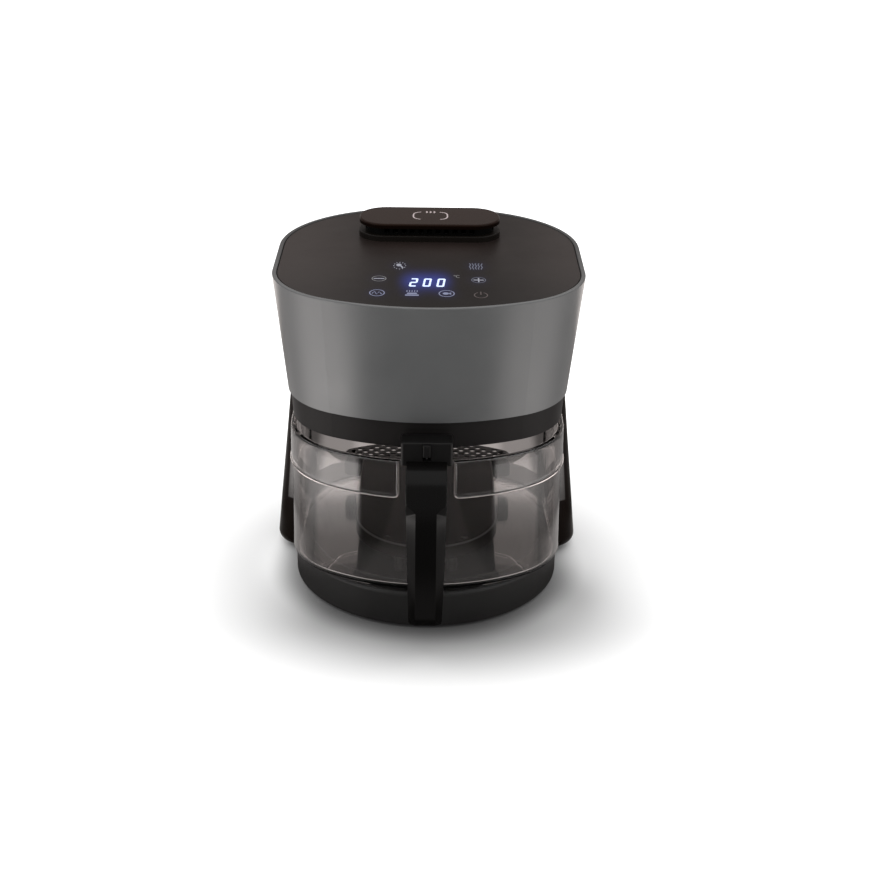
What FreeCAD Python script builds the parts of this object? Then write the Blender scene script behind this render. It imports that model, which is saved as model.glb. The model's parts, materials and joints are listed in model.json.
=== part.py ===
import FreeCAD, Part
import os, math

V = FreeCAD.Vector

# ---------------------------------------------------------------- driving dimensions (mm)
SHIFT_Y = 14.5            # the model is drawn about the head's middle, then moved so the box is centred

# head
HEAD_TOP_Z = 315.0        # rim of the head
HEAD_LOW_Z = 205.0        # lower edge of the grey shell
HEAD_HALF_W = 140.0
HEAD_FRONT_Y = -149.0
HEAD_BACK_Y = 149.0
HEAD_FRONT_R = 205.0
HEAD_BACK_R = 190.0
HEAD_SIDE_Y0 = -49.0      # the straight side runs between these
HEAD_SIDE_Y1 = 25.0
HEAD_TAPER = 12.0         # inward step from rim to lower edge
HEAD_WALL = 4.0
PANEL_T = 3.2
PANEL_TOP_Z = 314.4

# lower casing (black band)
CASE_LOW_Z = 180.0
CASE_IN_TOP = 14.0        # inward step from the head's rim outline
CASE_IN_LOW = 16.0
CASE_WALL = 3.0

# air axis (centre of the pot) and hot-air parts
AIR_Y = -18.0
MOUTH_R = 102.0
HOOD_R = 101.2
HOOD_TOP_Z = 239.2
SHAFT_R = 4.0
RUN_FIT = 0.05            # radial running fit

# vent on the top
VENT_Y = 64.0
VENT_W = 133.0
VENT_D = 58.0
VENT_TOP_Z = 332.0

# pot
POT_HALF_W = 126.5
POT_FRONT_Y = -145.0
POT_BACK_Y = 109.0
POT_ARC_R = 170.0
POT_SIDE_Y0 = -53.0
POT_SIDE_Y1 = 17.0
POT_LOW_Z = 42.0
POT_RIM_Z = 170.5
POT_FLARE = 2.0           # the rim is this much narrower than the foot
POT_WALL = 4.2
POT_FLOOR = 3.8
COLLAR_H = 36.0
COLLAR_T = 1.8
COLLAR_GAP = 24.5         # half width of the break in the collar behind the handle

# tray
TRAY_TOP_Z = 79.0
TRAY_T = 1.6
TRAY_SKIRT_Z = 64.5       # lower edge of the tray's turned-down rim
TRAY_HALF_W = 66.0
TRAY_BACK_HALF_W = 84.0   # half width of the wider part along the back
TRAY_STEP_Y = 50.0        # front edge of that part
TRAY_FRONT_C = -61.0      # the round front end is centred here
TRAY_BACK_R = 163.6       # the back edge follows the pot's back
TRAY_PITCH_X = 11.5
TRAY_PITCH_Y = 5.6
TRAY_HOLE_R = 2.8

# handle
BLOCK_HALF_W = 22.5
BLOCK_Y0 = -158.0
BLOCK_Y1 = -138.2
BLOCK_Z0 = 174.0
BLOCK_Z1 = 195.5
GRIP_HALF_W = 17.5
GRIP_FRONT_Y = -192.0
GRIP_LOW_Z = 27.5
BUTTON_TRAVEL = 3.5

# rear housing
REAR_LOW_Z = 4.0
REAR_HIGH_Z = 204.7
REAR_WALL = 3.0
POT_CLEAR = 2.2
COLUMN_HALF_W = 24.0      # middle column behind the pot
WINDOW_Y = 55.0           # the side arms end here; behind them the rear housing is open
WINDOW_Z0 = 41.0
WINDOW_Z1 = 166.0

# base
BASE_R = 127.0
BASE_Y = -14.0
BASE_LOW_Z = 3.0
BASE_HIGH_Z = 38.0

os.makedirs("parts", exist_ok=True)


# ---------------------------------------------------------------- helpers
def box(x0, x1, y0, y1, z0, z1):
    return Part.makeBox(x1 - x0, y1 - y0, z1 - z0, V(x0, y0, z0))


def cyl(r, x, y, z0, z1):
    return Part.makeCylinder(r, z1 - z0, V(x, y, z0))


def ring(r1, r0, x, y, z0, z1):
    return cyl(r1, x, y, z0, z1).cut(cyl(r0, x, y, z0 - 1, z1 + 1))


def arc(a, m, b):
    return Part.Arc(V(*a), V(*m), V(*b)).toShape()


def seg(a, b):
    return Part.LineSegment(V(*a), V(*b)).toShape()


def unit(x, y):
    n = math.hypot(x, y)
    return x / n, y / n


def plan(z, d, hw, yf, rf, y0, yb, rb, y1):
    """Rounded outline: front arc, corners, straight sides, back arc, stepped inward by d."""
    cf, cb = yf + rf, yb - rb
    kf = (rf ** 2 - hw ** 2 - (y0 - cf) ** 2) / (2 * (rf - hw))
    kb = (rb ** 2 - hw ** 2 - (y1 - cb) ** 2) / (2 * (rb - hw))
    xf, xb = hw - kf, hw - kb
    uf, ub = unit(xf, y0 - cf), unit(xb, y1 - cb)
    tf = ((rf - d) * uf[0], cf + (rf - d) * uf[1])
    tb = ((rb - d) * ub[0], cb + (rb - d) * ub[1])
    mf, mb = unit(1 + uf[0], uf[1]), unit(1 + ub[0], ub[1])
    pf = (xf + (kf - d) * mf[0], y0 + (kf - d) * mf[1])
    pb = (xb + (kb - d) * mb[0], y1 + (kb - d) * mb[1])
    w = hw - d
    e = [arc((-tf[0], tf[1], z), (0, yf + d, z), (tf[0], tf[1], z)),
         arc((tf[0], tf[1], z), (pf[0], pf[1], z), (w, y0, z)),
         seg((w, y0, z), (w, y1, z)),
         arc((w, y1, z), (pb[0], pb[1], z), (tb[0], tb[1], z)),
         arc((tb[0], tb[1], z), (0, yb - d, z), (-tb[0], tb[1], z)),
         arc((-tb[0], tb[1], z), (-pb[0], pb[1], z), (-w, y1, z)),
         seg((-w, y1, z), (-w, y0, z)),
         arc((-w, y0, z), (-pf[0], pf[1], z), (-tf[0], tf[1], z))]
    return Part.Wire(e)


def head(z, d):
    return plan(z, d, HEAD_HALF_W, HEAD_FRONT_Y, HEAD_FRONT_R, HEAD_SIDE_Y0,
                HEAD_BACK_Y, HEAD_BACK_R, HEAD_SIDE_Y1)


def head_step(z):
    return HEAD_TAPER * (HEAD_TOP_Z - z) / (HEAD_TOP_Z - HEAD_LOW_Z)


def case_step(z):
    k = (HEAD_LOW_Z - z) / (HEAD_LOW_Z - CASE_LOW_Z)
    return CASE_IN_TOP + (CASE_IN_LOW - CASE_IN_TOP) * k


def pot(z, d):
    return plan(z, d, POT_HALF_W, POT_FRONT_Y, POT_ARC_R, POT_SIDE_Y0,
                POT_BACK_Y, POT_ARC_R, POT_SIDE_Y1)


def pot_step(z):
    return POT_FLARE * (z - POT_LOW_Z) / (POT_RIM_Z - POT_LOW_Z)


def loft(a, b):
    return Part.makeLoft([a, b], True, True)


def prism(w, h):
    return Part.Face(w).extrude(V(0, 0, h))


def tablet(cx, cy, w, d, r, z0, z1):
    """Upright rounded block."""
    x, y = w / 2.0, d / 2.0
    s = r * math.sqrt(0.5)
    e = [seg((cx - x + r, cy - y, z0), (cx + x - r, cy - y, z0)),
         arc((cx + x - r, cy - y, z0), (cx + x - r + s, cy - y + r - s, z0), (cx + x, cy - y + r, z0)),
         seg((cx + x, cy - y + r, z0), (cx + x, cy + y - r, z0)),
         arc((cx + x, cy + y - r, z0), (cx + x - r + s, cy + y - r + s, z0), (cx + x - r, cy + y, z0)),
         seg((cx + x - r, cy + y, z0), (cx - x + r, cy + y, z0)),
         arc((cx - x + r, cy + y, z0), (cx - x + r - s, cy + y - r + s, z0), (cx - x, cy + y - r, z0)),
         seg((cx - x, cy + y - r, z0), (cx - x, cy - y + r, z0)),
         arc((cx - x, cy - y + r, z0), (cx - x + r - s, cy - y + r - s, z0), (cx - x + r, cy - y, z0))]
    return prism(Part.Wire(e), z1 - z0)


def revolve(points, x, y):
    """Turn a closed (radius, z) outline about the upright axis at x, y."""
    p = [V(r, 0, z) for r, z in points]
    w = Part.makePolygon(p + [p[0]])
    s = Part.Face(w).revolve(V(0, 0, 0), V(0, 0, 1), 360)
    s.translate(V(x, y, 0))
    return s


def pan_screw(x, y, z, down=True, r=1.7, length=10.0, head_r=3.4, head_h=2.2):
    """Pan-head screw; z is the seat of its head. down: the shank points down."""
    if down:
        return cyl(head_r, x, y, z, z + head_h).fuse(cyl(r, x, y, z - length, z)).removeSplitter()
    return cyl(head_r, x, y, z - head_h, z).fuse(cyl(r, x, y, z, z + length)).removeSplitter()


def polygon_x(points, x0, x1):
    """Extrude a closed (y, z) outline along X."""
    p = [V(x0, y, z) for y, z in points]
    return Part.Face(Part.makePolygon(p + [p[0]])).extrude(V(x1 - x0, 0, 0))


def safe_fillet(shape, r, edges):
    try:
        s = shape.makeFillet(r, edges)
        return s if s.isValid() and s.Volume > 0 else shape
    except Exception:
        return shape


def out(name, shape):
    if isinstance(shape, list):
        shape = Part.makeCompound(shape)
    s = shape.copy()
    s.translate(V(0, SHIFT_Y, 0))
    bad = [x for x in s.Solids if not x.isValid()]
    print("%-18s solids %3d  volume %9.0f mm3  %s" % (name, len(s.Solids), s.Volume, "INVALID" if bad else ""))
    s.exportStep("parts/%s.step" % name)


# ---------------------------------------------------------------- head
shell = loft(head(HEAD_LOW_Z, HEAD_TAPER), head(HEAD_TOP_Z, 0))
core = loft(head(HEAD_LOW_Z - 1, head_step(HEAD_LOW_Z - 1) + HEAD_WALL),
            head(HEAD_TOP_Z + 1, head_step(HEAD_TOP_Z + 1) + HEAD_WALL))
head_shell = shell.cut(core)
ledge_z0, ledge_z1 = 308.0, PANEL_TOP_Z - PANEL_T
ledge = prism(head(ledge_z0, 3.0), ledge_z1 - ledge_z0).cut(prism(head(ledge_z0 - 1, 9.5), 6))
head_shell = head_shell.fuse(ledge).removeSplitter()
# four screw pillars on the inside of the shell's ledge
top_edges = [e for e in head_shell.Edges if e.BoundBox.ZMin > HEAD_TOP_Z - 0.05]
head_shell = safe_fillet(head_shell, 1.1, top_edges)
boss_xy = [(-112, -52), (112, -52), (-112, 52), (112, 52)]
for bx, by in boss_xy:
    boss = cyl(5.0, bx, by, 209.4, 236.0).fuse(box(min(bx, bx + math.copysign(14, bx)), max(bx, bx + math.copysign(14, bx)),
                                                   by - 1.5, by + 1.5, 209.4, 236.0))
    boss = boss.common(core)
    boss = boss.cut(cyl(1.75, bx, by, 208, 228))
    head_shell = head_shell.fuse(boss)
out("head_shell", head_shell)

top_panel = prism(head(PANEL_TOP_Z - PANEL_T, 4.8), PANEL_T)
top_panel = safe_fillet(top_panel, 0.6, [e for e in top_panel.Edges if e.BoundBox.ZMin > PANEL_TOP_Z - 0.05])
top_panel = top_panel.cut(tablet(0, VENT_Y, 104, 34, 15, 300, 330))
for bx, by in [(-56, -118), (56, -118), (-56, -34), (56, -34)]:
    top_panel = top_panel.fuse(ring(3.2, 1.2, bx, by, 304.6, PANEL_TOP_Z - PANEL_T))
out("top_panel", top_panel.removeSplitter())

plinth = tablet(0, VENT_Y, VENT_W + 1, VENT_D - 3, 25, PANEL_TOP_Z, 320.0)
plinth = safe_fillet(plinth, 1.2, [e for e in plinth.Edges if e.BoundBox.ZMin > 319.9])
plinth = plinth.cut(tablet(0, VENT_Y, 104, 34, 15, 300, 330))
out("vent_plinth", plinth)

neck = tablet(0, VENT_Y, VENT_W - 11, VENT_D - 10, 22, 320.0, 327.4).cut(tablet(0, VENT_Y, VENT_W - 17, VENT_D - 16, 19, 319, 329))
for k in range(-5, 6):
    neck = neck.cut(box(k * 8.0 - 2.4, k * 8.0 + 2.4, VENT_Y - 40, VENT_Y + 40, 321.6, 325.8))
for k in (-1, 0, 1):
    neck = neck.cut(box(-80, 80, VENT_Y + k * 8.0 - 2.4, VENT_Y + k * 8.0 + 2.4, 321.6, 325.8))
out("vent_neck", neck)

cap = tablet(0, VENT_Y, VENT_W, VENT_D, 26, 327.4, VENT_TOP_Z)
cap = safe_fillet(cap, 1.6, [e for e in cap.Edges if e.BoundBox.ZMin > VENT_TOP_Z - 0.05])
out("vent_cap", cap)

duct = tablet(0, VENT_Y, 112, 42, 18, 268.0, 310.9).cut(tablet(0, VENT_Y, 108, 38, 16, 267, 312))
flange = tablet(0, VENT_Y, 124, 54, 22, 309.0, 310.9).cut(tablet(0, VENT_Y, 108, 38, 16, 300, 320))
out("exhaust_duct", duct.fuse(flange).removeSplitter())

# ---------------------------------------------------------------- lower casing
case_outer = loft(head(CASE_LOW_Z, case_step(CASE_LOW_Z)), head(HEAD_LOW_Z - 0.2, case_step(HEAD_LOW_Z - 0.2)))
case_inner = loft(head(CASE_LOW_Z + 3.0, case_step(CASE_LOW_Z + 3.0) + CASE_WALL),
                  head(212.0, case_step(212.0) + CASE_WALL))
casing = case_outer.cut(case_inner)
lip = loft(head(199.0, 16.3), head(209.0, 16.3)).cut(prism(head(198, 19.0), 14))
casing = casing.fuse(lip)
casing = casing.cut(cyl(MOUTH_R, 0, AIR_Y, 170, 190))
casing = casing.cut(box(-8, 8, 111, 124, 170, 190))
for bx, by in boss_xy:
    post = cyl(5.0, bx, by, 182.0, 209.2).common(loft(head(181, case_step(181) + 1), head(210, case_step(205) + 1)))
    casing = casing.fuse(post)
for bx, by in boss_xy:
    casing = casing.cut(cyl(1.9, bx, by, 170, 215)).cut(cyl(3.8, bx, by, 170, 184))
for bx in (-14, 14):
    casing = casing.cut(cyl(2.0, bx, 122, 170, 190))
out("lower_casing", casing.removeSplitter())
out("head_screws", [pan_screw(bx, by, 184.0, down=False, r=1.7, length=40.0, head_r=3.5, head_h=2.2) for bx, by in boss_xy])

seal = ring(107.0, MOUTH_R + 0.1, 0, AIR_Y, 176.0, 179.9)
out("seal_ring", seal)

# ---------------------------------------------------------------- hot-air side
hood = revolve([(HOOD_R, 175.0), (HOOD_R, 183.2), (112.0, 183.2), (112.0, 184.4), (HOOD_R, 184.4), (HOOD_R, 228.0),
                (94.0, 235.6), (84.0, HOOD_TOP_Z), (8.0, HOOD_TOP_Z), (8.0, HOOD_TOP_Z - 1.2), (83.6, HOOD_TOP_Z - 1.2),
                (93.2, 234.6), (HOOD_R - 1.2, 227.4), (HOOD_R - 1.2, 175.0)], 0, AIR_Y)
term = [(62, AIR_Y + 34), (75, AIR_Y + 27)]
sensor_xy = (-52.0, AIR_Y + 44.0)
hood = hood.cut(cyl(3.0, sensor_xy[0], sensor_xy[1], 230, 250))

# tubular element: two rings joined by a return bend, both ends turned up through the hood
TUBE_R = 3.2
R1, R0, ELZ = 86.0, 66.0, 201.0
A0, A1 = math.radians(14), math.radians(346)


def ep(r, a, z=ELZ):
    return (r * math.cos(a), AIR_Y + r * math.sin(a), z)


def bend_up(r, a, sense):
    """Quarter bend from the ring's tangent to upright; returns bend edge, tail edge and top point."""
    t = (-math.sin(a) * sense, math.cos(a) * sense)
    b = 9.0
    p = ep(r, a)
    c = (p[0], p[1], p[2] + b)
    s = math.sqrt(0.5)
    m = (c[0] + b * s * t[0], c[1] + b * s * t[1], c[2] - b * s)
    q = (c[0] + b * t[0], c[1] + b * t[1], c[2])
    top = (q[0], q[1], 252.0)
    return p, m, q, top


p, m, q, top1 = bend_up(R1, A0, -1)
e = [seg(top1, q), arc(q, m, p), arc(p, ep(R1, math.pi), ep(R1, A1))]
tmid = (76.0 * math.cos(A1) - 10.0 * math.sin(A1), AIR_Y + 76.0 * math.sin(A1) + 10.0 * math.cos(A1), ELZ)
e.append(arc(ep(R1, A1), tmid, ep(R0, A1)))
p2, m2, q2, top2 = bend_up(R0, A0, -1)
e += [arc(ep(R0, A1), ep(R0, math.pi), p2), arc(p2, m2, q2), seg(q2, top2)]
path = Part.Wire(e)
prof = Part.Wire(Part.Circle(V(*top1), V(0, 0, 1), TUBE_R).toShape())
element = path.makePipeShell([prof], True, True)
for t in (top1, top2):
    hood = hood.cut(cyl(TUBE_R + 0.4, t[0], t[1], 225, 250))
out("heater_hood", hood)
out("heating_element", element)

clips = []
for a in (70, 180, 290):
    c = box(60.0, 92.0, -3.0, 3.0, ELZ + TUBE_R + 0.3, ELZ + TUBE_R + 1.5)
    c = c.fuse(box(91.0, 92.0, -3.0, 3.0, ELZ - 5, ELZ + TUBE_R + 1.5)).fuse(box(60.0, 61.0, -3.0, 3.0, ELZ - 5, ELZ + TUBE_R + 1.5))
    c = c.fuse(box(91.0, HOOD_R - 1.6, -3.0, 3.0, ELZ + TUBE_R + 0.3, ELZ + TUBE_R + 1.5))
    c = c.removeSplitter()
    c.rotate(V(0, 0, 0), V(0, 0, 1), a)
    c.translate(V(0, AIR_Y, 0))
    clips.append(c)
out("element_clips", clips)

guard = ring(99.4, 96.0, 0, AIR_Y, 186.0, 187.6)
for r in (84, 71, 58, 45, 32, 19):
    guard = guard.fuse(ring(r, r - 2.2, 0, AIR_Y, 186.0, 187.6))
guard = guard.fuse(cyl(8.0, 0, AIR_Y, 186.0, 187.6))
for k in range(3):
    bar = box(-97.0, 97.0, -1.4, 1.4, 186.0, 187.6)
    bar.rotate(V(0, 0, 0), V(0, 0, 1), 30 + 60 * k)
    bar.translate(V(0, AIR_Y, 0))
    guard = guard.fuse(bar)
out("heater_guard", guard.removeSplitter())

# ---------------------------------------------------------------- turning parts
shaft = cyl(SHAFT_R, 0, AIR_Y, 204.0, 294.0)
shaft = shaft.makeChamfer(0.6, [e for e in shaft.Edges if e.BoundBox.ZLength < 0.01])
out("motor_shaft", shaft)


def fan(r, r_in, z0, z1, plate_z, count, hub_z0, hub_z1, sweep):
    f = cyl(r, 0, 0, plate_z, plate_z + 1.2)
    f = f.fuse(cyl(11.0, 0, 0, hub_z0, hub_z1))
    for k in range(count):
        b = box(r_in, r - 0.8, -0.6, 0.6, z0, z1)
        b.rotate(V(r_in, 0, 0), V(0, 0, 1), sweep)
        b = b.common(cyl(r - 0.2, 0, 0, z0 - 1, z1 + 1))
        b.rotate(V(0, 0, 0), V(0, 0, 1), 360.0 * k / count)
        f = f.fuse(b)
    f = f.cut(cyl(SHAFT_R + RUN_FIT, 0, 0, 190, 300))
    f.translate(V(0, AIR_Y, 0))
    return f.removeSplitter()


out("convection_fan", fan(62.0, 20.0, 212.5, 225.5, 225.0, 9, 211.0, 225.5, 18))
out("cooling_fan", fan(48.0, 16.0, 245.0, 255.5, 244.2, 11, 243.6, 256.0, -20))
nut = Part.Face(Part.makePolygon([V(7.5 * math.cos(math.radians(60 * k)), AIR_Y + 7.5 * math.sin(math.radians(60 * k)), 205.2)
                                  for k in range(7)])).extrude(V(0, 0, 5.6))
nut = nut.cut(cyl(SHAFT_R + RUN_FIT, 0, AIR_Y, 200, 220))
out("fan_nut", nut)

rotor = ring(19.0, SHAFT_R + RUN_FIT, 0, AIR_Y, 270.0, 284.0)
out("motor_rotor", rotor)
out("motor_stator", ring(27.8, 20.0, 0, AIR_Y, 268.0, 286.0))
case = cyl(32.0, 0, AIR_Y, 262.0, 292.0).cut(cyl(28.0, 0, AIR_Y, 264.0, 290.0)).cut(cyl(8.0, 0, AIR_Y, 250, 300))
for k in range(8):
    s = box(31, 34, -3.2, 3.2, 268, 286)
    s = box(26, 34, -3.2, 3.2, 270, 284)
    s.rotate(V(0, 0, 0), V(0, 0, 1), 45 * k + 22.5)
    s.translate(V(0, AIR_Y, 0))
    case = case.cut(s)
out("motor_case", case)
out("motor_bearings", [ring(7.9, SHAFT_R + RUN_FIT, 0, AIR_Y, 261.9, 266.9), ring(7.9, SHAFT_R + RUN_FIT, 0, AIR_Y, 287.1, 292.1)])

# bracket that carries the motor and the power board over the hood
post_xy = [(-44, AIR_Y - 40), (44, AIR_Y - 40), (-44, AIR_Y + 40), (44, AIR_Y + 40)]
bracket = tablet(26, AIR_Y, 172, 98, 8, 258.8, 261.8).cut(cyl(12.0, 0, AIR_Y, 250, 270))
for bx, by in post_xy:
    bracket = bracket.fuse(cyl(4.2, bx, by, HOOD_TOP_Z + 0.1, 260.0))
for bx, by in post_xy:
    bracket = bracket.cut(cyl(1.75, bx, by, HOOD_TOP_Z, 252.0))
    hood = hood.cut(cyl(2.0, bx, by, 230, 245))
for t in (top1, top2):
    bracket = bracket.cut(tablet(t[0], t[1], 16, 16, 4, 255, 265))
out("motor_bracket", bracket.removeSplitter())
out("heater_hood", hood)
out("bracket_screws", [pan_screw(bx, by, HOOD_TOP_Z - 1.3, down=False, r=1.7, length=12.0, head_r=3.2, head_h=1.8) for bx, by in post_xy])

power = box(62, 108, AIR_Y - 44, AIR_Y + 2, 265.0, 266.6)
for x0, x1, y0, y1, h in [(66, 82, -58, -44, 16), (86, 104, -58, -40, 13), (66, 78, -38, -26, 20), (84, 92, -34, -26, 22), (95, 104, -36, -24, 11)]:
    power = power.fuse(box(x0, x1, y0, y1, 266.6, 266.6 + h))
for x, y in [(66, AIR_Y - 41), (104, AIR_Y - 41), (66, AIR_Y - 1), (104, AIR_Y - 1)]:
    power = power.fuse(cyl(2.4, x, y, 261.9, 265.0))
out("power_board", power.removeSplitter())

probe = cyl(2.4, sensor_xy[0], sensor_xy[1], 229.0, 246.0).fuse(cyl(4.6, sensor_xy[0], sensor_xy[1], HOOD_TOP_Z + 0.1, 241.2))
out("heat_sensor", probe.removeSplitter())
cut_out = box(18, 38, AIR_Y + 52, AIR_Y + 62, HOOD_TOP_Z + 0.1, HOOD_TOP_Z + 1.6).fuse(cyl(4.6, 28, AIR_Y + 57, HOOD_TOP_Z + 1.0, HOOD_TOP_Z + 8.0))
out("thermal_cutout", cut_out.removeSplitter())

# ---------------------------------------------------------------- controls
board = tablet(0, -78, 128, 96, 10, 303.0, 304.6).cut(cyl(1.3, 0, -40, 300, 310))
for bx, by in [(-56, -118), (56, -118), (-56, -34), (56, -34)]:
    board = board.cut(cyl(1.3, bx, by, 300, 306))
board = board.fuse(box(-18, 18, -72, -58, 299.8, 303.0)).fuse(box(30, 44, -64, -52, 300.6, 303.0))
out("control_board", board.removeSplitter())
out("board_screws", [pan_screw(bx, by, 303.0, down=False, r=1.15, length=6.0, head_r=2.4, head_h=1.5) for bx, by in [(-56, -118), (56, -118), (-56, -34), (56, -34)]])
out("led_display", tablet(0, -82, 46, 18, 1.5, 304.6, 310.6))
touch_xy = [(-45, -74), (43, -75), (-45, -106), (-16, -107), (15, -107), (44, -107), (-28, -48), (42, -48)]
out("touch_contacts", [ring(3.0, 1.6, x, y, 304.7, 311.0) for x, y in touch_xy])

out("reed_switch", box(-8, 8, -129.2, -124.2, 186.0, 191.5).fuse(box(-11, 11, -128.2, -125.2, 187.5, 190.0)).removeSplitter())

# ---------------------------------------------------------------- rear housing
WAIST = dict(hw=129.4, y0=16.0, r=8.0, yb=138.4, rb=179.4, y1=45.0)
FLOOR = dict(hw=150.0, y0=4.0, r=26.0, yb=160.0, rb=200.0, y1=52.0)


def rear(z, d):
    """Outline of the rear housing at height z: straight front, rounded ends, bowed back."""
    k = (z - REAR_LOW_Z) / (REAR_HIGH_Z - REAR_LOW_Z)
    g = {n: FLOOR[n] + (WAIST[n] - FLOOR[n]) * k for n in FLOOR}
    hw, y0, r, yb, rb, y1 = (g[n] for n in ("hw", "y0", "r", "yb", "rb", "y1"))
    cb = yb - rb
    kb = (rb ** 2 - hw ** 2 - (y1 - cb) ** 2) / (2 * (rb - hw))
    xb = hw - kb
    ub = unit(xb, y1 - cb)
    tb = ((rb - d) * ub[0], cb + (rb - d) * ub[1])
    mb = unit(1 + ub[0], ub[1])
    pb = (xb + (kb - d) * mb[0], y1 + (kb - d) * mb[1])
    s = (r - d) * math.sqrt(0.5)
    cx, cy = hw - r, y0 + r
    w = hw - d
    e = [seg((-cx, y0 + d, z), (cx, y0 + d, z)),
         arc((cx, y0 + d, z), (cx + s, cy - s, z), (w, cy, z)),
         seg((w, cy, z), (w, y1, z)),
         arc((w, y1, z), (pb[0], pb[1], z), (tb[0], tb[1], z)),
         arc((tb[0], tb[1], z), (0, yb - d, z), (-tb[0], tb[1], z)),
         arc((-tb[0], tb[1], z), (-pb[0], pb[1], z), (-w, y1, z)),
         seg((-w, y1, z), (-w, cy, z)),
         arc((-w, cy, z), (-cx - s, cy - s, z), (-cx, y0 + d, z))]
    return Part.Wire(e)


def bay(grow, z0, z1):
    """The pot's way in and out: its outline grown all round and drawn forwards."""
    s = prism(pot(z0, -grow), z1 - z0)
    w = POT_HALF_W + grow
    return s.fuse(box(-w, w, -260, POT_SIDE_Y1, z0, z1)).removeSplitter()


COLUMN_TOP = 179.7
u_solid = loft(rear(REAR_LOW_Z, 0), rear(REAR_HIGH_Z, 0))
u_solid = safe_fillet(u_solid, 10.0, [e for e in u_solid.Edges if e.BoundBox.ZMax < REAR_LOW_Z + 0.05])
u_solid = u_solid.cut(bay(POT_CLEAR, BASE_HIGH_Z + 0.3, COLUMN_TOP + 0.0))
u_solid = u_solid.cut(cyl(BASE_R + 0.6, 0, BASE_Y, 0, BASE_HIGH_Z + 0.3).fuse(box(-BASE_R - 0.6, BASE_R + 0.6, -200, BASE_Y, 0, BASE_HIGH_Z + 0.3)))
case_room = loft(head(COLUMN_TOP, case_step(CASE_LOW_Z) - 0.5), head(210.0, case_step(205.0) - 0.5))
case_room = case_room.fuse(box(-124, 124, -200, 20, COLUMN_TOP, 210))
u_solid = u_solid.cut(case_room)

hollow = loft(rear(REAR_LOW_Z + 3, REAR_WALL), rear(176.8, REAR_WALL))
hollow = safe_fillet(hollow, 7.0, [e for e in hollow.Edges if e.BoundBox.ZMax < REAR_LOW_Z + 3.05])
hollow = hollow.cut(bay(POT_CLEAR + 3.4, 0, 200))
hollow = hollow.cut(cyl(BASE_R + 3.6, 0, BASE_Y, 0, BASE_HIGH_Z + 4.0))
side_w = COLUMN_HALF_W - 3.5
hollow = hollow.cut(box(-200, -side_w, -10, 200, WINDOW_Z0 - 4, 200)).cut(box(side_w, 200, -10, 200, WINDOW_Z0 - 4, 200))
hollow = Part.makeCompound([s for s in hollow.Solids if s.Volume > 2000])
rear_shell = u_solid.cut(hollow)

# open window on each side, between the column and the arm
WINDOW_R = 9.0
for sx in (-1, 1):
    win = box(COLUMN_HALF_W, 200, WINDOW_Y, 220, WINDOW_Z0, WINDOW_Z1)
    win = safe_fillet(win, WINDOW_R, [e for e in win.Edges if abs(e.BoundBox.XMax - COLUMN_HALF_W) < 0.01 and e.BoundBox.YLength > 50])
    if sx < 0:
        win = win.mirror(V(0, 0, 0), V(1, 0, 0))
    rear_shell = rear_shell.cut(win)

# removable liner behind the pot: the skin between the pot's bay and the hollow
liner_zone = box(-17, 17, 40, 140, 46.0, 172.0)
skin = bay(POT_CLEAR + 3.4, 20, 190).cut(bay(POT_CLEAR, 10, 200)).common(liner_zone)
gap_zone = box(-17.3, 17.3, 40, 140, 45.7, 172.3)
rear_shell = rear_shell.cut(bay(POT_CLEAR + 3.7, 20, 190).common(gap_zone))
out("rear_liner", skin)

# cord gland low on the back
gland_hole = Part.makeCylinder(7.4, 40, V(0, 130, 30), V(0, 1, 0))
rear_shell = rear_shell.cut(gland_hole)
# way for the lead into the head and screw holes in the column's top
rear_shell = rear_shell.cut(box(-7, 7, 113.5, 128, 170, 182))
for bx in (-14, 14):
    rear_shell = rear_shell.cut(cyl(1.75, bx, 122, 170, 182))
# air slots in the back
for k in range(7):
    sz = 70.0 + 9.0 * k
    rear_shell = rear_shell.cut(tablet(0, 150, 30, 60, 1.0, sz, sz + 3.6))
rear_shell = rear_shell.removeSplitter()
out("rear_shell", rear_shell)
out("column_screws", [pan_screw(bx, 122, 183.0, down=True, r=1.7, length=6.0, head_r=3.5, head_h=2.2) for bx in (-14, 14)])

gland = Part.makeCylinder(7.0, 15.5, V(0, 147.5, 30), V(0, 1, 0))
gland = gland.fuse(Part.makeCylinder(9.5, 2.4, V(0, 158.2, 30), V(0, 1, 0)))
gland = gland.cut(Part.makeCylinder(3.6, 40, V(0, 140, 30), V(0, 1, 0)))
out("cord_gland", gland.removeSplitter())

brace = box(-16, 16, 121.5, 124.0, 8.0, 160.0).fuse(box(-16, -13.5, 121.5, 133.0, 8.0, 160.0)).fuse(box(13.5, 16, 121.5, 133.0, 8.0, 160.0))
out("column_brace", brace.removeSplitter())

# supply lead held inside the column, from the gland up into the head
LEAD_R = 3.0
lead_pts = [(0, 147.3, 30.0), (0, 129.0, 30.0), (0, 129.0, 165.0), (0, 118.5, 181.0), (0, 118.5, 222.0)]
lead_bend = [11.0, 18.0, 18.0]


def bent_path(pts, radii):
    """Straight runs joined by tangent arcs."""
    edges, start = [], V(*pts[0])
    for i, r in enumerate(radii):
        a, b, c = V(*pts[i]), V(*pts[i + 1]), V(*pts[i + 2])
        u, w = (b - a).normalize(), (c - b).normalize()
        turn = math.acos(max(-1.0, min(1.0, u.dot(w))))
        t = r * math.tan(turn / 2)
        p0, p1 = b - u * t, b + w * t
        n = (w - u).normalize()
        mid = b + n * (r / math.cos(turn / 2) - r)
        edges += [Part.LineSegment(start, p0).toShape(), Part.Arc(p0, mid, p1).toShape()]
        start = p1
    edges.append(Part.LineSegment(start, V(*pts[-1])).toShape())
    return Part.Wire(edges)


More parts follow.
